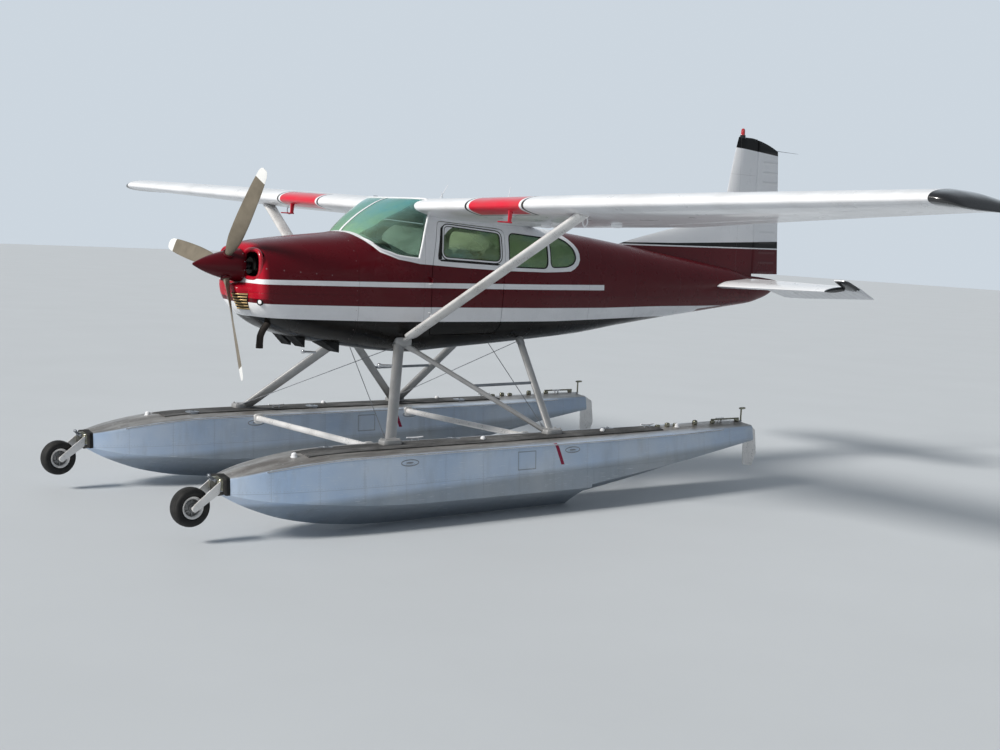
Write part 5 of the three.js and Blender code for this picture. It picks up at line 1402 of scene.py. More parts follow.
def wing_fittings():
    """Wing struts with their end fairings, the flap rail covers, the pitot masts, the tie-down
    rings and the aerials on the roof."""
    foot, head = place(0.542, 0.5, 0.038), place(0.826, 2.56, 1.271)
    span, fore = head - foot, (1, 0, 0.05)

    def bar(start, end, chord, thick, count, rows, taper=None):
        """Length of the strut between two parts of its run."""
        return streamlined(foot + span * start, foot + span * end, chord, thick, fore, count, rows,
            taper)

    both("wing_strut_bar", [bar(0.036, 1, 0.15, 0.058, 48, 12)], STRUT_METAL, nodes=["wing_strut"])
    cuffs = [
        bar(0.029, 0.036, 0.15, 0.058, 48, 6, ([0, 0.3, 0.7, 1], [0.7, 0.88, 0.97, 1])),
        bar(-0.004, 0.05, 0.062, 0.03, 32, 3),
        bar(0.95, 0.985, 0.154, 0.062, 48, 8, ([0, 0.3, 1], [0.97, 1, 1.01])),
    ]
    both("wing_strut_cuffs", cuffs, STRUT_METAL)
    a = 2 * PI * np.arange(32) / 32
    ring = place(0.995 + 0.028 * np.cos(a), 2.4, 1.215 + 0.042 * np.sin(a))
    tie = [tube(ring, 0.0065, 10, closed=True, up=(0, 1, 0)),
           rod(place(0.995, 2.4, 1.3), place(0.995, 2.4, 1.252), 0.011, 16)]
    both("tie_down_ring", tie, WHITE_PAINT, slot="steel")
    # Red mast under the red patch, its tube pointing ahead
    mast = [
        streamlined(place(0.67, 1.8, 1.31), place(0.66, 1.8, 1.178), 0.045, 0.016, (1, 0, 0), 24, 5,
            ([0, 1], [1.2, 0.9])),
        rod(place(0.685, 1.8, 1.178), place(0.53, 1.8, 1.18), 0.0075, 18, end_radius=0.006),
        block((0.69, 1.8, 1.305), (0.045, 0.024, 0.012), 4, 10),
        block((0.9, 1.95, 1.265), (0.035, 0.02, 0.022), 3, 12),
    ]
    both("pitot_mast", mast, RED_PAINT)
    spots = [wing_point(y, 0.66, float(foil(0.66)[1])) + [-0.03, 0, -0.008] for y in (1.1, 2.05)]
    covers = [rounded_block(spot, (0.07, 0.01, 0.024), 3, 12) for spot in spots]
    both("flap_rail_covers", covers, WHITE_PAINT)
    aerial = [
        rod(place(1.24, 0.0, 1.37), place(1.345, 0.0, 1.528), 0.0042, 12, end_radius=0.0022),
        rod(place(1.3, 0.0, 1.37), place(1.26, 0.0, 1.46), 0.0035, 12, end_radius=0.002),
        block((1.26, 0.0, 1.374), (0.05, 0.018, 0.01), 3, 10),
        rod(place(2.076, 0.0, 1.17), place(2.15, 0.0, 1.55), 0.0042, 12, end_radius=0.0022),
        block((2.08, 0.0, 1.215), (0.02, 0.016, 0.012), 3, 10),
    ]
    piece("roof_aerials", aerial, WHITE_PAINT)


# Tail
RUDDER_HINGE = 5.95
STABILISER_RISE = 0.092
STABILISER_TIP_Y = 1.5
ELEVATOR_TIP_Y = 1.66
COVE = 0.042
ELEVATOR_DROOP = math.radians(20)
FIN_ROWS = [
    [0.62, 2.6, 5.3, 0.05], [1.03, 3.74, 5.35, 0.048], [1.235, 4.6, 5.45, 0.044],
    [1.36, 5.16, 5.55, 0.042], [1.42, 5.34, 5.6, 0.041], [1.5, 5.41, 5.61, 0.04],
    [1.7, 5.447, 5.63, 0.037], [2.24, 5.563, 5.7, 0.028], [2.337, 5.59, 5.72, 0.02],
]
TAIL_TOP = [[5.5, 2.33], [5.6, 2.337], [5.8, 2.337], [5.95, 2.32], [6.08, 2.292], [6.2, 2.256],
    [6.31, 2.214]]


def fin():
    """Fin and its long dorsal fillet: level rings from the leading edge to the rudder cove, fattest
    at a listed station. Rings near the top follow the sloping tip."""
    foot, tip = FIN_ROWS[0][0], FIN_ROWS[-1][0]
    w = np.concatenate([np.linspace(0, 0.94, 60), np.linspace(0.95, 1, 10)])
    z = foot + (tip - foot) * w
    nose, fat, half = (v[:, None] for v in columns(z, FIN_ROWS))
    t = np.concatenate([[0, 0.004, 0.012, 0.025, 0.05, 0.09], np.linspace(0.14, 1, 24)])[None, :]
    s = nose + (RUDDER_HINGE - COVE - nose) * t
    rise = np.sin(PI / 2 * np.clip((s - nose) / (fat - nose), 0, 1)) ** 0.75
    fall = 1 - 0.2 * np.clip((s - fat) / (RUDDER_HINGE - COVE - fat), 0, 1)
    round_top = np.sqrt(np.clip(1 - np.clip((z - 2.3) / 0.037, 0, 1) ** 2, 0.02, 1))[:, None]
    y = half * np.maximum(rise * fall, 0.03) * round_top
    top = columns(s, TAIL_TOP)[0]
    zz = np.minimum(z[:, None] + 0 * s, top)
    piece("fin_skin", [wrapped(place(s, y, zz), place(s, -y, zz))], TAIL_PAINT, nodes=["fin"])


def hinged(levels, hinge, edge, half, put):
    """Hinged tail surface: a round nose about the hinge, then flat sides to a thin trailing edge."""
    a = PI / 2 + PI * np.linspace(0, 1, 14)[None, :]
    t = np.linspace(0, 1, 14)[None, 1:]
    half, edge = half[:, None], edge[:, None]
    back = hinge + (edge - hinge) * t
    s = np.concatenate([hinge + half * np.cos(a), back, back[:, ::-1]], axis=1)
    thin = half + (0.004 - half) * t
    h = np.concatenate([half * np.sin(a), -thin, thin[:, ::-1]], axis=1)
    return grid(put(s, h, levels[:, None]), caps=True)


def rudder():
    """Rudder whose level rings are squeezed under the sloping top line, its tail lamp and whip."""
    foot, tip = 0.742, 2.3
    w = np.linspace(0, 1, 40)
    z = foot + (tip - foot) * w
    edge = 6.43 + (6.302 - 6.43) * w
    half = 0.034 + (0.024 - 0.034) * w

    def put(s, h, level):
        """Place of a rudder point: its level is a share of the height under the top line."""
        top = columns(s, TAIL_TOP)[0] - 0.004
        share = (level - foot) / (tip - foot)
        zz = foot + (top - foot) * share
        ease = np.sqrt(np.clip(1 - np.clip((share - 0.985) / 0.015, 0, 1) ** 2, 0.05, 1))
        return place(s, h * ease, zz)

    shells = [hinged(z, RUDDER_HINGE, edge, half, put)]
    shells.append(rod(place(RUDDER_HINGE, 0, 0.668), place(RUDDER_HINGE, 0, 0.78), 0.0098, 16))
    piece("rudder_skin", shells, TAIL_PAINT, "rudder", nodes=["rudder"])
    lens = block((6.36, 0, 1.2), (0.012, 0.012, 0.02), 3, 10)
    piece("tail_lamp", [lens], CLEAR_LENS, "rudder")
    t = np.linspace(0, 1, 12)
    whip = tube(place(6.29 + 0.395 * t, 0 * t, 2.217 - 0.006 * t), 0.0035 - 0.002 * t, 8)
    piece("rudder_whip", [whip], STEEL, "rudder")


def stabiliser():
    """Stabiliser: level plan with a raked nose, its middle rising to the elevator hinge. Its ends
    are closed by rounded black caps."""
    tip = STABILISER_TIP_Y
    y = np.concatenate([np.linspace(-tip, -0.1, 16), np.linspace(0.1, tip, 16)])
    t = np.concatenate([[0, 0.005, 0.015, 0.035, 0.07, 0.12], np.linspace(0.2, 1, 12)])[None, :]

    def ring(out, thin=1.0):
        """Stations, half thicknesses and middle heights from nose to cove at a distance out."""
        nose = np.interp(out, [0.1, tip], [5.165, 5.445])
        half = np.interp(out, [0.1, tip], [0.042, 0.027]) * thin
        s = nose + (ELEVATOR_HINGE - COVE - nose) * t
        rise = np.sin(PI / 2 * np.clip((s - nose) / 0.22, 0, 1)) ** 0.7
        fall = 1 - 0.15 * np.clip((s - nose - 0.22) / 0.35, 0, 1)
        return s, half * np.maximum(rise * fall,
            0.02), ELEVATOR_HINGE_Z - STABILISER_RISE * (ELEVATOR_HINGE - s)

    s, h, middle = ring(np.abs(y)[:, None])
    skin = wrapped(place(s, y[:, None], middle + h), place(s, y[:, None], middle - h))
    piece("stabiliser_skin", [skin], WHITE_PAINT, nodes=["stabiliser"])
    y = tip + np.array([-0.02, -0.02, 0.0, 0.005, 0.008, 0.009])[:, None]
    s, h, middle = ring(tip, np.array([0.9, 1.05, 1.05, 0.95, 0.6, 0.1])[:, None])
    cap = wrapped(place(s, y, middle + h), place(s, y, middle - h))
    piece("stabiliser_end_caps", [cap, mirrored(cap)], TIP_BLACK)


def elevator_put(s, h, y):
    """Place of an elevator point, turned down about the hinge by the resting droop."""
    a = ELEVATOR_DROOP
    d = s - ELEVATOR_HINGE
    return place(ELEVATOR_HINGE + d * math.cos(a) + h * math.sin(a), y,
        ELEVATOR_HINGE_Z - d * math.sin(a) + h * math.cos(a))


def elevator():
    """Elevator halves on their torque tube, and the balance horns that reach ahead of the hinge
    beyond the stabiliser's ends."""
    y = np.concatenate([[0.125, 0.16, 0.2, 0.24, 0.27], np.linspace(0.31, ELEVATOR_TIP_Y, 24)])
    edge = curve(y, [0.125, 0.29, 0.97, ELEVATOR_TIP_Y], [6.04, 6.335, 6.255, 6.15])
    half = np.interp(y, [0.125, ELEVATOR_TIP_Y], [0.034, 0.023])
    port = hinged(y, ELEVATOR_HINGE, edge, half, elevator_put)
    ends = [place(ELEVATOR_HINGE, y_end, ELEVATOR_HINGE_Z) for y_end in (-0.14, 0.14)]
    piece("elevator_skin", [port, mirrored(port), rod(*ends, 0.0198)], FLAP_PAINT, "elevator",
        nodes=["elevator"])
    y = np.array([1.512, 1.514, 1.52, 1.58, 1.64, 1.654, 1.66])[:, None]
    thin = np.array([0.75, 0.94, 1, 1, 1, 0.85, 0.5])[:, None]
    t = np.concatenate([[0, 0.01, 0.03, 0.07, 0.14], np.linspace(0.22, 1, 8)])[None, :]
    nose = 5.572 + 0.02 * np.clip((y - 1.6) / 0.06, 0, 1) ** 2
    s = nose + (ELEVATOR_HINGE + 0.02 - nose) * t
    h = thin * (0.004 + 0.019 * np.sin(PI / 2 * np.clip(t / 0.3, 0, 1)) ** 0.8)
    horn = wrapped(elevator_put(s, h, y), elevator_put(s, -h, y))
    piece("elevator_horns", [horn, mirrored(horn)], HORN_PAINT, "elevator")


def beacon():
    """Red beacon on the fin's tip, on a short black collar."""
    base = place(5.655, 0, 2.33)
    glass = [[POINT, 0.108], [0.012, 0.106], [0.02, 0.098], [0.0235, 0.08], [0.025, 0.03],
             [0.026, 0.024], [POINT, 0.024]]
    ring = [[POINT, 0.03], [0.031, 0.03], [0.033, 0.02], [0.034, -0.01], [POINT, -0.01]]
    glass, ring = (turned(profile, base, (0, 0, 1), 32) for profile in (glass, ring))
    piece("beacon_lens", [glass], RED_LENS, nodes=["beacon"], slot="paint_maroon")
    piece("beacon_collar", [ring], TIP_BLACK, slot="paint_white")


# Propeller
PROP_STATION = -1.115
BLADE_ANGLE = 0.668
BLADE_ROWS = [
    [0.06, 0.064, 0.064, 1.0], [0.135, 0.066, 0.06, 0.95], [0.2, 0.098, 0.034, 0.8],
    [0.32, 0.136, 0.022, 0.64], [0.55, 0.152, 0.015, 0.46], [0.8, 0.142, 0.011, 0.36],
    [0.97, 0.12, 0.008, 0.31], [1.04, 0.085, 0.006, 0.3], [1.067, 0.03, 0.004, 0.3],
]


def blade_finish():
    """Blade: satin grey-tan with darker pitted patches, fine specks and a white tip."""
    f = Finish("blade_finish", metallic=0.2, roughness=0.5)
    radius = f.y.distance(f.z - PROP_AXIS_Z)
    tone = f.mix(rgb(112, 104, 90), rgb(130, 121, 106), f.noise(7.0, 5.0).ramp(0.35, 0.7))
    tone = f.mix(tone, rgb(84, 78, 70), f.noise(16.0, 6.0, 0.7).ramp(0.6, 0.8, 0.0, 0.5))
    tone = f.mix(tone, rgb(236, 236, 234), radius.above(0.955))
    tone = f.mix(tone, rgb(120, 116, 110), f.noise(40.0, 5.0, 0.7).ramp(0.64, 0.7, 0.0, 0.5))
    f.raise_by(f.noise(60.0, 4.0), 0.0002)
    return f.done(tone, f.noise(9.0, 4.0).ramp(0.3, 0.7, 0.42, 0.6))


def propeller():
    """Three blades round one axis, the hub with its clamps, and the spinner with its blade seals
    and screws."""
    finish = blade_finish()
    r = np.concatenate([np.linspace(0.086, 0.3, 14), np.linspace(0.33, 0.97, 22),
        np.linspace(0.985, 1.067, 12)])
    chord, thick, pitch = columns(r, BLADE_ROWS)
    # The blade is round at its root and becomes an aerofoil with a rounded tip
    flat = np.clip((r - 0.12) / 0.12, 0, 1)
    chord = np.where(r > 0.98, 0.03 + (0.117 - 0.03) * np.sqrt(np.clip(1 - ((r - 0.98) / 0.0885) ** 2,
        0, 1)), chord)
    a = 2 * PI * np.arange(40) / 40
    u = np.cos(a)[None, :] * chord[:, None] / 2
    v = np.sin(a)[None, :] * thick[:, None] / 2 * (1 + flat[:,
        None] * (0.45 * np.cos(a)[None, :] - 0.1))
    along = u * np.cos(pitch)[:, None] + v * np.sin(pitch)[:, None]
    fore = v * np.cos(pitch)[:, None] - u * np.sin(pitch)[:, None]
    seal = [[0.0365, 0.118], [0.047, 0.118], [0.05, 0.128], [0.047, 0.134], [0.0365, 0.134]]
    middle = place(PROP_STATION, 0, PROP_AXIS_Z)
    clamps, seals = [], []
    for index in range(3):
        angle = BLADE_ANGLE - index * 2 * PI / 3
        out, side = (math.sin(angle), math.cos(angle)), (math.cos(angle), -math.sin(angle))
        y = out[0] * r[:, None] + side[0] * along
        z = PROP_AXIS_Z + out[1] * r[:, None] + side[1] * along
        blade, number = grid(place(PROP_STATION - fore, y, z), caps=True), index + 1
        piece(f"blade_{number}", [blade], finish, "propeller", [f"propeller_blade_{number}"],
            slot="blade_grey")
        end = [place(PROP_STATION, out[0] * k, PROP_AXIS_Z + out[1] * k) for k in (0.05, 0.1, 0.128)]
        clamps += [rod(end[0], end[1], 0.046, 24), rod(end[1], end[2], 0.04, 24)]
        seals.append(turned(seal, middle, (0, *out), 32, closed=True))
    centre = place(0, 0, PROP_AXIS_Z)
    hub = [turned([[0.02, 1.19], [0.07, 1.18], [0.084, 1.16], [0.085, 1.06], [0.05, 1.045],
        [0.0355, 1.04], [0.0355, 0.862], [0.01, 0.861]], centre, (1, 0, 0), 36)]
    piece("propeller_hub_body", hub + clamps, STEEL, "propeller", nodes=["propeller_hub"])
    # Spinner: radius at each distance ahead of the firewall, read smoothly
    profile = [[0.972, 0.15], [1.03, 0.142], [1.12, 0.123], [1.22, 0.095], [1.32, 0.058],
               [1.395, 0.0215], [1.422, 0.006], [1.425, POINT]]
    t = np.linspace(0.972, 1.425, 46)
    outer = np.stack([*columns(t, profile), t], -1)[::-1]
    lip = [[0.1495, 0.9705], [0.146, 0.97], [0.1445, 0.9715], [0.1445, 0.99], [POINT, 0.992]]
    shell = turned(np.vstack([outer, lip]), centre, (1, 0, 0), 96)
    piece("spinner_shell", [shell], MAROON_PAINT, "propeller", nodes=["spinner"],
        sharp=40)
    piece("spinner_blade_seals", seals, MAROON_PAINT, "propeller")
    screws = []
    for a in angles(12)[0]:
        spot = place(-0.984, 0.1485 * math.cos(a), PROP_AXIS_Z + 0.1485 * math.sin(a))
        screws.append(rounded_block(spot, (0.005, 0.005, 0.005), 2, 6))
    piece("spinner_screws", screws, STEEL, "propeller")


# Exhaust pipe: part of its run, station and height
EXHAUST_ROWS = [
    [0, -0.7, 0.4695], [0.38, -0.702, 0.28], [0.5, -0.725, 0.225], [0.72, -0.815, 0.11],
    [0.84, -0.838, 0.05], [1, -0.842, -0.03],
]
# Cowl flaps: front and rear station, middle, and height of the hanging edge
COWL_FLAPS = [
    (-0.47, -0.36, 0.1, -0.045), (-0.47, -0.36, -0.14, -0.045), (-0.24, -0.05, 0.2, -0.088),
]


def nose_details():
    """Louvred chin intake, landing lamp, exhaust pipe, engine casting and cowl flaps. Each slat
    follows the chin's surface at its own height."""
    slats = []
    for z, reach in zip(np.linspace(0.302, 0.43, 6), np.linspace(0.155, 0.172, 6)):
        y = np.linspace(0.045, reach, 16)
        slats.append(tube(place(chin_front(y, np.full(16, z)) - 0.004, y, z), 0.0074, 8))
    piece("chin_louvres", slats, BRONZE)
    # Painted shade: a dark plate behind the slats stands for the shaded intake behind the grille.
    zz, t = np.meshgrid(np.linspace(0.292, 0.441, 14), np.linspace(0, 1, 16), indexing="ij")
    yy = 0.04 + (0.12 + 0.14 * (zz - 0.3)) * t
    face = chin_front(yy, zz)
    back = plate(place(face - 0.003, yy, zz), place(face + 0.012, yy, zz))
    piece("chin_louvre_painted_shade", [back], DARK)
    lamp_axis = np.array([0.86, 0.36, -0.05])
    spot = place(-0.922, 0.335, 0.375)
    ring = [[0.012, -0.01], [0.03, -0.01], [0.033, 0.012], [0.03, 0.018], [0.024, 0.016], [0.012, 0.01]]
    reflector = [[POINT, -0.004], [0.019, -0.004], [0.019, 0.0155], [0.01, 0.018], [POINT, 0.019]]
    lens = [[POINT, -0.008], [0.025, -0.008], [0.024, 0.01], [0.012, 0.015], [POINT, 0.016]]
    for name, profile, finish, slot in (
        ("ring", ring, DARK, "steel"),
        ("reflector", reflector, WHITE_PAINT, "paint_white"),
        ("lens", lens, CLEAR_LENS, "clear_acrylic"),
    ):
        shell = turned(profile, spot, lamp_axis, 28, closed=name == "ring")
        piece(f"landing_lamp_{name}", [shell], finish, slot=slot)
    run = np.linspace(0, 1, 40)
    s, z = columns(run, EXHAUST_ROWS)
    pipe = tube(place(s, 0.2, z), 0.031, 24, up=(0, 1, 0))
    profile = [[0.024, 0.0], [0.026, 0.012], [0.0325, 0.012], [0.0325, -0.02], [0.024, -0.02]]
    mouth = turned(profile, place(-0.842, 0.2, -0.036), (0, 0, -1), 28, closed=True)
    piece("exhaust_pipe", [pipe, mouth], SOOT, nodes=["exhaust"])
    # Engine: a case on its shaft housing, with three finned cylinders on each side
    case = [block((-0.48, 0, 0.635), (0.25, 0.13, 0.15), 4, 24),
            rod(place(-0.855, 0, PROP_AXIS_Z), place(-0.6, 0, 0.66), 0.088, 32)]
    step = np.arange(56)
    reach = 0.1 + 0.2 * np.repeat(np.arange(28), 2) / 27 + 0.0005 * step
    fins = np.stack([np.where(step % 4 < 2, 0.054, 0.07), reach], -1)
    fins = np.concatenate([[[POINT, 0.1]], fins, [[0.06, 0.332], [POINT, 0.334]]]) * [1, 0.94]
    for sign in (1, -1):
        case += [turned(fins, place(s, 0, 0.64), (0, sign, 0), 28) for s in (-0.66, -0.49, -0.32)]
    piece("engine_casting", case, CASTING, nodes=["engine_block"])
    # Cowl flaps: wedges that hang open under the belly
    flaps = []
    for s0, s1, y, drop in COWL_FLAPS:
        t = np.linspace(0, 1, 8)[:, None]
        across = y + 0.085 * np.linspace(-1, 1, 12)[None, :]
        s = s0 + (s1 - s0) * t
        skin = belly_z(s, across)
        low = skin - 0.004 + (drop - belly_z(s1, across)) * t
        flaps.append(plate(place(s, across, skin + 0.006), place(s, across, low)))
    piece("cowl_flaps", flaps, DARK)


# Floats
DECK_Z = -0.787
BOW, STEP, TRANSOM = -1.815, 1.95, 4.38
WATER_RUDDER_HINGE = 4.44
FORE_ROWS = [
    [BOW, 0.112, -0.945, -1.075, -1.102, 0.02], [-1.7, 0.175, -0.915, -1.105, -1.17, 0.025],
    [-1.5, 0.245, -0.872, -1.14, -1.262, 0.03], [-1.2, 0.302, -0.824, -1.175, -1.364, 0.035],
    [-0.8, 0.345, -0.793, -1.21, -1.44, 0.035], [-0.35, 0.364, DECK_Z, -1.24, -1.479, 0.035],
    [0, 0.37, DECK_Z, -1.25, -1.487, 0.035], [STEP, 0.37, DECK_Z, -1.26, -1.487, 0.035],
]
AFT_ROWS = [
    [STEP, 0.37, DECK_Z, -1.23, -1.417, 0.035], [3.1, 0.325, DECK_Z, -1.11, -1.25, 0.035],
    [TRANSOM, 0.24, -0.777, -0.955, -1.02, 0.03],
]
FLOAT_TABLE = FORE_ROWS[:-1] + AFT_ROWS
# Wall and deck of a float: place along the half ring, share of the half beam, share of the
# wall's height, and the deck's drop from the wall's top
WALL_RING = [
    [0, 1, 0, 0], [0.3, 0.952, 0.5, 0.52], [0.6, 0.905, 1, 1.05], [0.68, 0.86, 1, 1.36],
    [0.76, 0.76, 1, 1.5], [0.87, 0.52, 1, 1.68], [1, 0, 1, 2.25],
]


def float_rows(s, table):
    """Float rings: a slightly hollow bottom from keel to chine, a small rolled chine, then a wall
    that leans in and rolls over into the crowned deck. The listed shares are read smoothly along
    the half ring, which is mirrored about the float's middle."""
    beam, deck, chine, keel, drop = (v[:, None] for v in columns(s, table))
    t = np.linspace(0, 1, 12)[None, :]
    low_y = beam * t
    low_z = keel + (chine - keel) * (t + 0.06 * np.sin(PI * t)) - 0.012 * np.clip((t - 0.86) / 0.14, 0,
        1) ** 2
    across, height, fall = columns(np.linspace(0, 1, 30)[None, :], WALL_RING)
    foot, shoulder = chine + 0.012, deck - 2.6 * drop
    y = np.concatenate([low_y, beam * across], axis=1)
    z = np.concatenate([low_z, foot + (shoulder - foot) * height + drop * fall], axis=1)
    full_y = np.concatenate([y, -y[:, ::-1]], axis=1)
    full_z = np.concatenate([z, z[:, ::-1]], axis=1)
    return place(s[:, None], FLOAT_Y + full_y, full_z)


def deck_height(s, y):
    """Height of the float deck: its crown falls with the square of the distance from the middle."""
    beam, deck, _, _, drop = columns(s, FLOAT_TABLE)
    return deck - drop * (0.35 + 0.57 * (np.abs(y) / (0.52 * beam)) ** 2)


def wall_place(s, z, reach):
    """Point on a float's side wall, which leans in by a tenth of the half beam up to its top."""
    beam, deck, chine, _, drop = columns(s, FLOAT_TABLE)
    lean = 0.095 * np.clip((z - chine) / (deck - 1.55 * drop - chine), 0, 1)
    return place(s, FLOAT_Y + reach * beam * (1 - lean), z)


def floats():
    """Hulls in two lengths that meet at the step, with walkways, bow bumpers and bow caps."""
    lengths = ((BOW, STEP, 60, FORE_ROWS), (STEP, TRANSOM, 34, AFT_ROWS))
    hull = [grid(float_rows(np.linspace(a, b, count), rows), caps=True) for a, b, count,
        rows in lengths]
    both("float_hull", hull, FLOAT_SKIN, nodes=["float"], sharp=26)
    s = np.linspace(-1.06, 3.12, 50)[:, None]
    y = np.linspace(-1, 1, 14)[None, :] * columns(s, FLOAT_TABLE)[0] * 0.42
    z = deck_height(s, y)
    walkway = plate(place(s, FLOAT_Y + y, z + 0.006), place(s, FLOAT_Y + y, z - 0.004))
    both("deck_walkway", [walkway], DECK_GRIP)
    # Rubber bumper round the bow: rings of the bow's outline, moved aft and widened
    ring = float_rows(np.array([-1.8, -1.79]), FORE_ROWS)[0]
    middle = ring.mean(0)
    steps = ((0.03, 1.0), (0.03, 1.1), (-0.012, 1.13), (-0.024, 1.06), (-0.024, 0.82), (-0.005, 0.8),
        (0.0, 0.8))
    rows = [middle + (ring - middle) * k - [ds, 0, 0] for ds, k in steps]
    both("bow_bumper", [grid(np.array(rows), around_rows=True)], RUBBER)
    # Domed cap inside it
    rows = [middle + (ring - middle) * 0.82 - [0.02, 0, 0]]
    for a in np.linspace(0, 1.5, 9):
        rows.append(middle + (ring - middle) * 0.82 * np.cos(a) + [0.01 + 0.055 * np.sin(a), 0, 0.01])
    both("bow_cap", [grid(np.array(rows), caps=True)], BOW_METAL)
    fittings()
    bow_gear()
    water_rudder()


def deck_point(s, y):
    """Point on the float deck at a station and distance from the float's middle."""
    return place(s, FLOAT_Y + y, float(deck_height(np.array(s), np.array(y))))


def cleat(s, y, length=0.09):
    """Mooring cleat: a waisted bar on two feet."""
    p = deck_point(s, y)
    t = np.linspace(-1, 1, 16)
    bar = p + np.stack([t * length, 0 * t, 0.034 + 0.006 * t**2], -1)
    feet = [p + [k * length * 0.4, 0, 0] for k in (-1, 1)]
    legs = [rod(foot - [0, 0, 0.006], foot + [0, 0, 0.034], 0.008, 10) for foot in feet]
    return [tube(bar, 0.0095 - 0.003 * t**2, 10)] + legs


def fittings():
    """Cleats, pump-out cups and hatches on the deck, oval openings in the walls, and the beads
    along the deck's edges."""
    cleats = cleat(0.19, -0.1) + cleat(3.0, 0.02) + cleat(4.1, 0.0, 0.06)
    both("mooring_cleats", cleats, WHITE_PAINT)
    up = (0, 0, 1)
    cup = [[POINT, 0.032], [0.012, 0.031], [0.021, 0.024], [0.024, 0.012], [0.022, 0.0],
           [0.03, -0.002], [0.031, -0.012], [POINT, -0.012]]
    cups = [turned(cup, deck_point(s, 0.05), up, 24) for s in (-1.15, 0.85, 2.35, 3.4)]
    both("pump_out_cups", cups, WHITE_PAINT, slot="steel")
    lid = [[POINT, 0.01], [0.06, 0.01], [0.068, 0.006], [0.07, -0.012], [POINT, -0.012]]
    a = np.linspace(0, PI, 10)
    grip = np.stack([0.02 * np.cos(a), 0 * a, 0.008 + 0.012 * np.sin(a)], -1)
    lids = []
    for s in (-0.75, 0.62, 2.55):
        p = deck_point(s, -0.09)
        lids += [turned(lid, p, up, 36), tube(p + grip, 0.003, 8, up=(0, 1, 0))]
    both("deck_hatches", lids, STEEL, slot="float_aluminium")
    ovals = []
    a = 2 * PI * np.arange(40) / 40
    for s, z in ((-0.175, -0.905), (1.7, -0.9)):
        for reach in (1, -1):
            for k, radius in ((1.0, 0.006), (0.6, 0.004)):
                path = wall_place(s + 0.09 * k * np.cos(a), z + 0.026 * k * np.sin(a), reach)
                ovals.append(tube(path, radius, 8, closed=True, up=(0, 1, 0)))
            ovals.append(rounded_block(wall_place(s, z, reach), (0.04, 0.008, 0.008), 3, 8))
    both("hull_fittings", ovals, STEEL)
    s = np.linspace(-1.5, 3.9, 60)
    _, deck, _, _, drop = columns(s, FLOAT_TABLE)
    beads = [tube(wall_place(s, deck - 1.6 * drop, reach), 0.006, 8) for reach in (1, -1)]
    both("deck_edge_beads", beads, POLISHED, slot="float_aluminium")


# Side view of a bow arm, and the hub cap and rim as pairs of radius and offset
ARM = [[-1.845, -1.085], [-1.838, -0.985], [-2.06, -1.158], [-2.094, -1.19], [-2.06, -1.226]]
HUB_CAP = [[POINT, 0.008], [0.024, 0.008], [0.028, 0.004], [0.028, -0.002], [POINT, -0.002]]
HALF_RIM = [
    [0.0145, 0.045], [0.03, 0.045], [0.034, 0.03], [0.06, 0.018], [0.078, 0.03], [0.084, 0.045],
    [0.0882, 0.046],
]


def bow_gear():
    """Nose gear in its raised place ahead of the bow: two flat arms, the axle, the tyre, whose
    section is a squarish ellipse that turns in to the rim, and the rim with bolts and spokes."""
    centre, axis = place(WHEEL_S, FLOAT_Y, WHEEL_Z), np.array([0, 1.0, 0])
    outline = rounded(ARM, 0.02, 80)
    shells = []
    for dy in (-0.082, 0.082):
        shells.append(slab(outline, FLOAT_Y + dy - 0.0055, FLOAT_Y + dy + 0.0055))
        shells.append(turned(HUB_CAP, centre + dy * 1.06 * axis, np.sign(dy) * axis, 24))
    shells.append(rod(centre - 0.094 * axis, centre + 0.094 * axis, 0.0138, 24))
    both("nose_gear_arms", shells, STRUT_METAL, nodes=["bow_fork"], slot="steel")
    casting = block((-1.852, FLOAT_Y, -1.028), (0.026, 0.05, 0.05), 3, 20)
    both("bow_casting", [casting], CASTING, slot="steel")
    links = [rod(place(-1.86, FLOAT_Y - 0.05, -0.99), place(-1.86, FLOAT_Y + 0.05, -0.99), 0.014, 18),
             rod(place(-1.855, FLOAT_Y, -0.985), place(-1.9, FLOAT_Y, -0.955), 0.011, 14),
             block((-1.9, FLOAT_Y, -0.95), (0.014, 0.02, 0.014), 3, 10)]
    both("nose_gear_link", links, STEEL)
    a = np.linspace(-0.62 * PI, 0.62 * PI, 34)
    section_line = np.stack([0.12 + 0.04 * power(np.cos(a), 0.7), 0.062 * power(np.sin(a), 0.8)], -1)
    tyre = turned(np.vstack([section_line, [[0.0885, 0.04], [0.0885, -0.04]]]), centre, axis, 72,
        closed=True)
    both("nose_wheel_tyre", [tyre], TYRE, "nose_wheel", ["nose_tyre"])
    rim = np.array(HALF_RIM)
    shells = [turned(np.vstack([rim, rim[::-1] * [1, -1]]), centre, axis, 60, closed=True)]
    for b in 2 * PI * np.arange(6) / 6:
        bolt, spoke = (np.array([math.cos(v), 0, math.sin(v)]) for v in (b, b + 0.5))
        for reach in (-axis, axis):
            spot = centre + 0.052 * bolt + 0.0235 * reach
            shells.append(rounded_block(spot, (0.006, 0.005, 0.006), 3, 8))
            start, end = centre + 0.034 * spoke + 0.03 * reach, centre + 0.074 * spoke + 0.027 * reach
            shells.append(rod(start, end, 0.006, 8))
    flange = [[0.07, 0.04], [0.083, 0.052], [0.091, 0.054], [0.091, 0.046], [0.07, 0.036]]
    flanges = [turned((np.array(flange) * [1, k])[::k], centre, axis, 60, closed=True) for k in (1, -1)]
    both("nose_wheel_flange", flanges, STRUT_METAL, "nose_wheel")
    both("nose_wheel_rim", shells, RIM_METAL, "nose_wheel", ["nose_rim"])


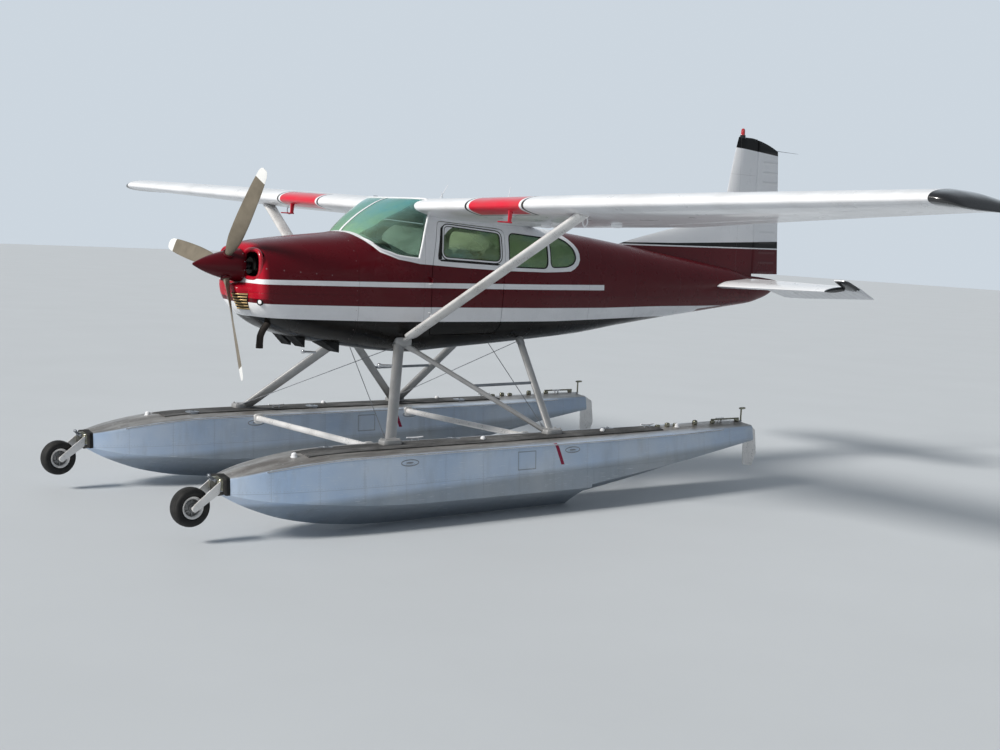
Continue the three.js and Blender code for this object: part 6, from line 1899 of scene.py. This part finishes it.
# Side view of a water rudder's blade, aft of its hinge, and the worn fittings along the stern's
# deck as stations and half heights
BLADE_OUTLINE = [
    [0.012, -0.895], [0.06, -0.9], [0.07, -1.27], [0.22, -1.3], [0.28, -1.16], [0.24, -0.9],
    [0.1, -0.83], [0.012, -0.826],
]
STERN_BLOCKS = [(3.96, 0.018), (4.34, 0.018), (3.69, 0.03), (3.4, 0.02), (3.28, 0.026), (3.14, 0.018)]


def water_rudder():
    """Water rudder: a plate on a post behind the transom with its hinge brackets, the lifting post
    over the hinge, and the bar and blocks on the stern's deck."""
    hinge = WATER_RUDDER_HINGE
    mount = [block((TRANSOM + 0.0065, FLOAT_Y, -0.86), (0.006, 0.03, 0.072), 6, 10),
             rod(place(hinge, FLOAT_Y, -0.93), place(hinge, FLOAT_Y, -0.79), 0.0078, 16)]
    for z in (-0.924, -0.796):
        mount.append(block((4.418, FLOAT_Y, z), (0.034, 0.0125, 0.006), 6, 10))
    stern = [rod(place(hinge, FLOAT_Y, -0.8), place(hinge, FLOAT_Y, -0.665), 0.009, 16),
             block((hinge + 0.015, FLOAT_Y, -0.66), (0.05, 0.012, 0.012), 3, 12),
             rod(place(3.94, FLOAT_Y + 0.03, -0.757), place(4.37, FLOAT_Y + 0.03, -0.76), 0.009, 12)]
    for s, high in STERN_BLOCKS:
        spot = deck_point(s, 0.03) + [0, 0, high * 0.6]
        stern.append(rounded_block(spot, (0.03, 0.02, high), 3, 12))
    both("stern_deck_fittings", stern, BOW_METAL)
    both("water_rudder_mount", mount, STEEL, nodes=["water_rudder_post"])
    outline = rounded(np.array(BLADE_OUTLINE) + [hinge, 0], 0.03, 200)
    profile = [[0.0085, -0.038], [0.021, -0.038], [0.021, 0.038], [0.0085, 0.038]]
    blade = [slab(outline, FLOAT_Y - 0.0045, FLOAT_Y + 0.0045),
             turned(profile, place(hinge, FLOAT_Y, -0.86), (0, 0, 1), 28, closed=True),
             rod(place(hinge + 0.1, FLOAT_Y, -0.88), place(hinge + 0.17, FLOAT_Y, -1.24), 0.007, 10)]
    both("water_rudder_blade", blade, STRUT_METAL, "water_rudder", ["water_rudder"])


# Float struts: station at the float, station, distance to port and height at the body, chord and
# thickness
STRUTS = [
    (-0.148, 0.518, 0.44, 0.02, 0.115, 0.05), (1.735, 0.545, 0.44, 0.012, 0.085, 0.045),
    (1.735, 2.02, 0.4, 0.06, 0.105, 0.048),
]
# Bracing wires: their ends as station, distance to port and height
WIRES = [((0.505, -0.44, -0.02), (-0.19, 1.3, -0.775)), ((2.15, -0.39, 0.05), (1.66, 1.3, -0.775))]
BOLT = [[POINT, 0.01], [0.009, 0.01], [0.0095, 0.0], [POINT, -0.002]]


def float_rigging():
    """Float struts with their end fittings, the spreader bars, boarding bars and pegs, and the
    crossed bracing wires."""
    shells, ends, fore = [], [], (1, 0, 0.3)
    for foot, head, y, z, chord, thick in STRUTS:
        a, b = place(foot, FLOAT_Y, -0.81), place(head, y, z)
        d = b - a
        shells.append(streamlined(a, b, chord, thick, fore, 48, rows=14))
        for start, end, taper in ((-0.01, 0.06, ([0, 0.7, 1], [1, 1, 0.8])),
            (0.9, 0.985, ([0, 0.3, 1], [0.8, 1, 1]))):
            ends.append(streamlined(a + d * start, a + d * end, chord * 1.08, thick * 1.3, fore, 40, 6,
                taper))
    both("float_strut_bars", shells, SHADED_FLOAT_STRUT_METAL, nodes=["float_struts"])
    ends.append(block((0.53, 0.465, 0.02), (0.095, 0.045, 0.05), 5, 16))
    for foot in (-0.148, 1.735):
        ends.append(block((foot, FLOAT_Y, -0.778), (0.1, 0.06, 0.032), 5, 14))
        for ds in (-0.07, 0.07):
            for dy in (-0.035, 0.035):
                ends.append(turned(BOLT, place(foot + ds, FLOAT_Y + dy, -0.75), (0, 0, 1), 6))
    both("strut_fittings", ends, SHADED_FLOAT_STRUT_METAL)
    step = rod(place(1.08, 0.84, -0.372), place(1.87, 0.84, -0.362), 0.014, 18)
    both("boarding_bar", [step], STEEL, slot="bare_aluminium")
    peg = [rod(place(0.33, 0.66, -0.185), place(0.15, 0.66, -0.175), 0.013, 16),
           block((0.15, 0.66, -0.175), (0.02, 0.02, 0.02), 2.4, 12)]
    both("boarding_peg", peg, POLISHED, slot="bare_aluminium")
    wires = []
    for start, end in ((place(*a), place(*b)) for a, b in WIRES):
        d = end - start
        wires += [rod(start, end, 0.0035, 8), rod(start + d * 0.93, end, 0.008, 12),
                  rod(start, start + d * 0.05, 0.008, 12)]
    both("bracing_wires", wires, STEEL)
    reach = FLOAT_Y - 0.29
    for name, s in (("front", -0.148), ("rear", 1.68)):
        bar = streamlined(place(s, -reach, -0.862), place(s, reach, -0.862), 0.07, 0.062, (1, 0, 0), 36,
            rows=8)
        end = block((s, FLOAT_Y - 0.335, -0.868), (0.055, 0.016, 0.05), 4, 12)
        shells = [bar, end, mirrored(end)]
        piece(f"spreader_bar_{name}", shells, STRUT_METAL, nodes=[f"spreader_{name}"])


# Cabin fittings
def cushion(name, rows, cloth, nodes=()):
    """Padded piece from soft blocks, each crowned by a high fullness and one subdivision."""
    obj = piece(name, rows, cloth, nodes=nodes, slot="tan_fabric", sharp=60)
    mod = obj.modifiers.new("smooth", "SUBSURF")
    mod.levels = mod.render_levels = 1
    return obj


def seat_shells(front, y0, y1, split):
    """Cushion and leaning back as crowned blocks with sewn channels between them."""
    low = 0.03 + 0.025 * front
    shells = []
    width = (y1 - y0) / split
    for k in range(split):
        y = y0 + width * (k + 0.5)
        half = width / 2 + 0.004
        lean = np.array([[-1, 0, -0.03], [0, 1, 0], [-0.03, 0, 1]])
        shells.append(block((front + 0.23, y, low + 0.265), (0.23, half, 0.058), 4.5, 22, lean))
        tilt = 0.15
        back = np.array([[-math.cos(tilt), 0, -math.sin(tilt)], [0, 1, 0],
            [-math.sin(tilt), 0, math.cos(tilt)]])
        shells.append(block((front + 0.555, y, low + 0.54), (0.048, half, 0.31), 4.5, 22, back))
    return shells


def seats():
    """Two front seats and the rear bench on their bases."""
    for name, y0, y1 in (("left", 0.035, 0.46), ("right", -0.46, -0.035)):
        cushion(f"front_seat_{name}", seat_shells(0.86, y0, y1, 3), SEAT_CLOTH,
            nodes=[f"seat_front_{name}"])
        middle = (y0 + y1) / 2
        base = block((1.09, middle, 0.15), (0.17, 0.14, 0.11), 6, 12)
        piece(f"seat_base_{name}", [base], PANEL)
    cushion("rear_bench", seat_shells(1.62, -0.42, 0.42, 6), SEAT_CLOTH, nodes=["seat_rear"])
    base = block((1.86, 0, 0.17), (0.18, 0.36, 0.11), 6, 12)
    piece("rear_bench_base", [base], PANEL)


def panel():
    """Instrument panel: a black board under a padded cover, dials with rims and hands, and two
    control wheels."""
    phi = angles(96)
    shells = []
    board = (0.315, 0.317, 0.348, 0.35), (0.05, 0.042, 0.042, 0.05), 0.55
    cover = (0.2, 0.203, 0.378, 0.382), (0.045, 0.036, 0.036, 0.045), 0.93
    for stations, drop, floor in (board, cover):
        s = np.array(stations)[:, None] + 0 * phi
        y, z = section(s, phi, NOSE_ROWS, -np.array(drop)[:, None])
        shells.append(grid(place(s, y * np.where(z < floor, 0.97, 1), np.maximum(z, floor)), caps=True))
    piece("panel_board", shells, PANEL, nodes=["instrument_panel"])
    rims, faces, hands = [], [], []
    ring = [[0.034, -0.004], [0.041, -0.004], [0.041, 0.006], [0.034, 0.006]]
    dial = [[POINT, 0.001], [0.035, 0.001], [0.035, -0.004], [POINT, -0.004]]
    spots = [(y, z) for z in (0.85, 0.75, 0.65) for y in (0.36, 0.27, 0.18)]
    spots += [(y, z) for z in (0.85, 0.75) for y in (-0.2, -0.3)]
    for y, z in spots:
        p = place(0.3565, y, z)
        rims.append(turned(ring, p, (-1, 0, 0), 32, closed=True))
        faces.append(turned(dial, p, (-1, 0, 0), 32))
        hands.append(rounded_block(p + [-0.0028, 0.008, 0.006], (0.0012, 0.0018, 0.016), 4, 6))
    piece("dial_rims", rims, DARK, slot="panel_black")
    piece("dial_faces", faces, CLEAR_LENS, slot="panel_black")
    piece("dial_hands", hands, RED_PAINT)
    wheels = []
    a = np.linspace(-0.15 * PI, 1.15 * PI, 30)
    for y in (0.25, -0.25):
        arc = place(0.5, y + 0.12 * np.cos(a), 0.7 - 0.075 * np.sin(a))
        wheels.append(tube(arc, 0.011, 12, up=(1, 0, 0)))
        wheels.append(rod(place(0.36, y, 0.68), place(0.505, y, 0.68), 0.013, 14))
        wheels.append(block((0.5, y, 0.662), (0.014, 0.055, 0.024), 4, 10))
    piece("control_wheels", wheels, PANEL)


wings()
wing_fittings()
fin()
rudder()
stabiliser()
elevator()
beacon()
propeller()
nose_details()
floats()
float_rigging()
seats()
panel()


# Camera, lights and floor
# The photograph's camera: place, heading, rise and roll in degrees, and focal length in pixels of
# a picture 1000 pixels wide
CAMERA_PLACE = 9.5478, 11.5234, 2.5834
CAMERA_ANGLES = -129.73137518, -5.64387876, 2.84216739
FOCAL_PIXELS, PICTURE_PIXELS, SENSOR_MM = 1451.134, 1000, 36


def camera():
    """Camera of the photograph: its right and up directions turned about the view by the roll."""
    az, el, roll = (math.radians(v) for v in CAMERA_ANGLES)
    look = Vector((math.cos(el) * math.cos(az), math.cos(el) * math.sin(az), math.sin(el)))
    right = look.cross(Vector((0, 0, 1))).normalized()
    up = right.cross(look)
    r2 = math.cos(roll) * right + math.sin(roll) * up
    u2 = -math.sin(roll) * right + math.cos(roll) * up
    data = bpy.data.cameras.new("camera")
    data.lens, data.sensor_width = SENSOR_MM * FOCAL_PIXELS / PICTURE_PIXELS, SENSOR_MM
    data.clip_end = 500
    cam = bpy.data.objects.new("camera", data)
    turn = Matrix((r2, u2, -look)).transposed().to_4x4()
    cam.matrix_world = Matrix.Translation(Vector(CAMERA_PLACE)) @ turn
    bpy.context.scene.collection.objects.link(cam)
    bpy.context.scene.camera = cam


def stage():
    """Pale floor, a soft sky and one warm key light."""
    f = Finish("studio_floor", roughness=0.7)
    tone = f.shift(rgb(196, 200, 204), f.noise(0.6, 3.0).ramp(0.3, 0.7, 0.985, 1.015))
    finish = f.done(tone)
    x, y = np.meshgrid(np.linspace(-90, 90, 10), np.linspace(-90, 90, 10), indexing="ij")
    points, quads, fans, _ = grid(np.stack([x, y, 0 * x - 0.002], -1), around_columns=False)
    floor = thing("studio_floor", [(points, quads[:, ::-1], fans, 0)], finish)
    world = bpy.data.worlds.new("studio")
    bpy.context.scene.world = world
    world.use_nodes = True
    world.node_tree.nodes["Background"].inputs[0].default_value = (0.82, 0.91, 1.0, 1)
    # Soft even light, paler in a wide patch behind the object
    nodes, links = world.node_tree.nodes, world.node_tree.links
    way = nodes.new("ShaderNodeTexCoord")
    dot = nodes.new("ShaderNodeVectorMath")
    dot.operation = "DOT_PRODUCT"
    dot.inputs[1].default_value = (-0.64, -0.77, 0.0)
    lift = nodes.new("ShaderNodeMapRange")
    for socket, value in zip(lift.inputs[1:5], (0.45, 0.92, 0.3, 0.74)):
        socket.default_value = value
    links.new(way.outputs["Generated"], dot.inputs[0])
    links.new(dot.outputs["Value"], lift.inputs[0])
    links.new(lift.outputs[0], nodes["Background"].inputs[1])
    data = bpy.data.lights.new("key_light", "SUN")
    data.energy, data.angle, data.color = 3.8, math.radians(14), (1.0, 0.97, 0.92)
    key = bpy.data.objects.new("key_light", data)
    key.rotation_euler = Vector((-0.8, 0.05, -0.55)).to_track_quat("-Z", "Y").to_euler()
    bpy.context.scene.collection.objects.link(key)
    bpy.context.scene.view_settings.view_transform = "Standard"


camera()
stage()
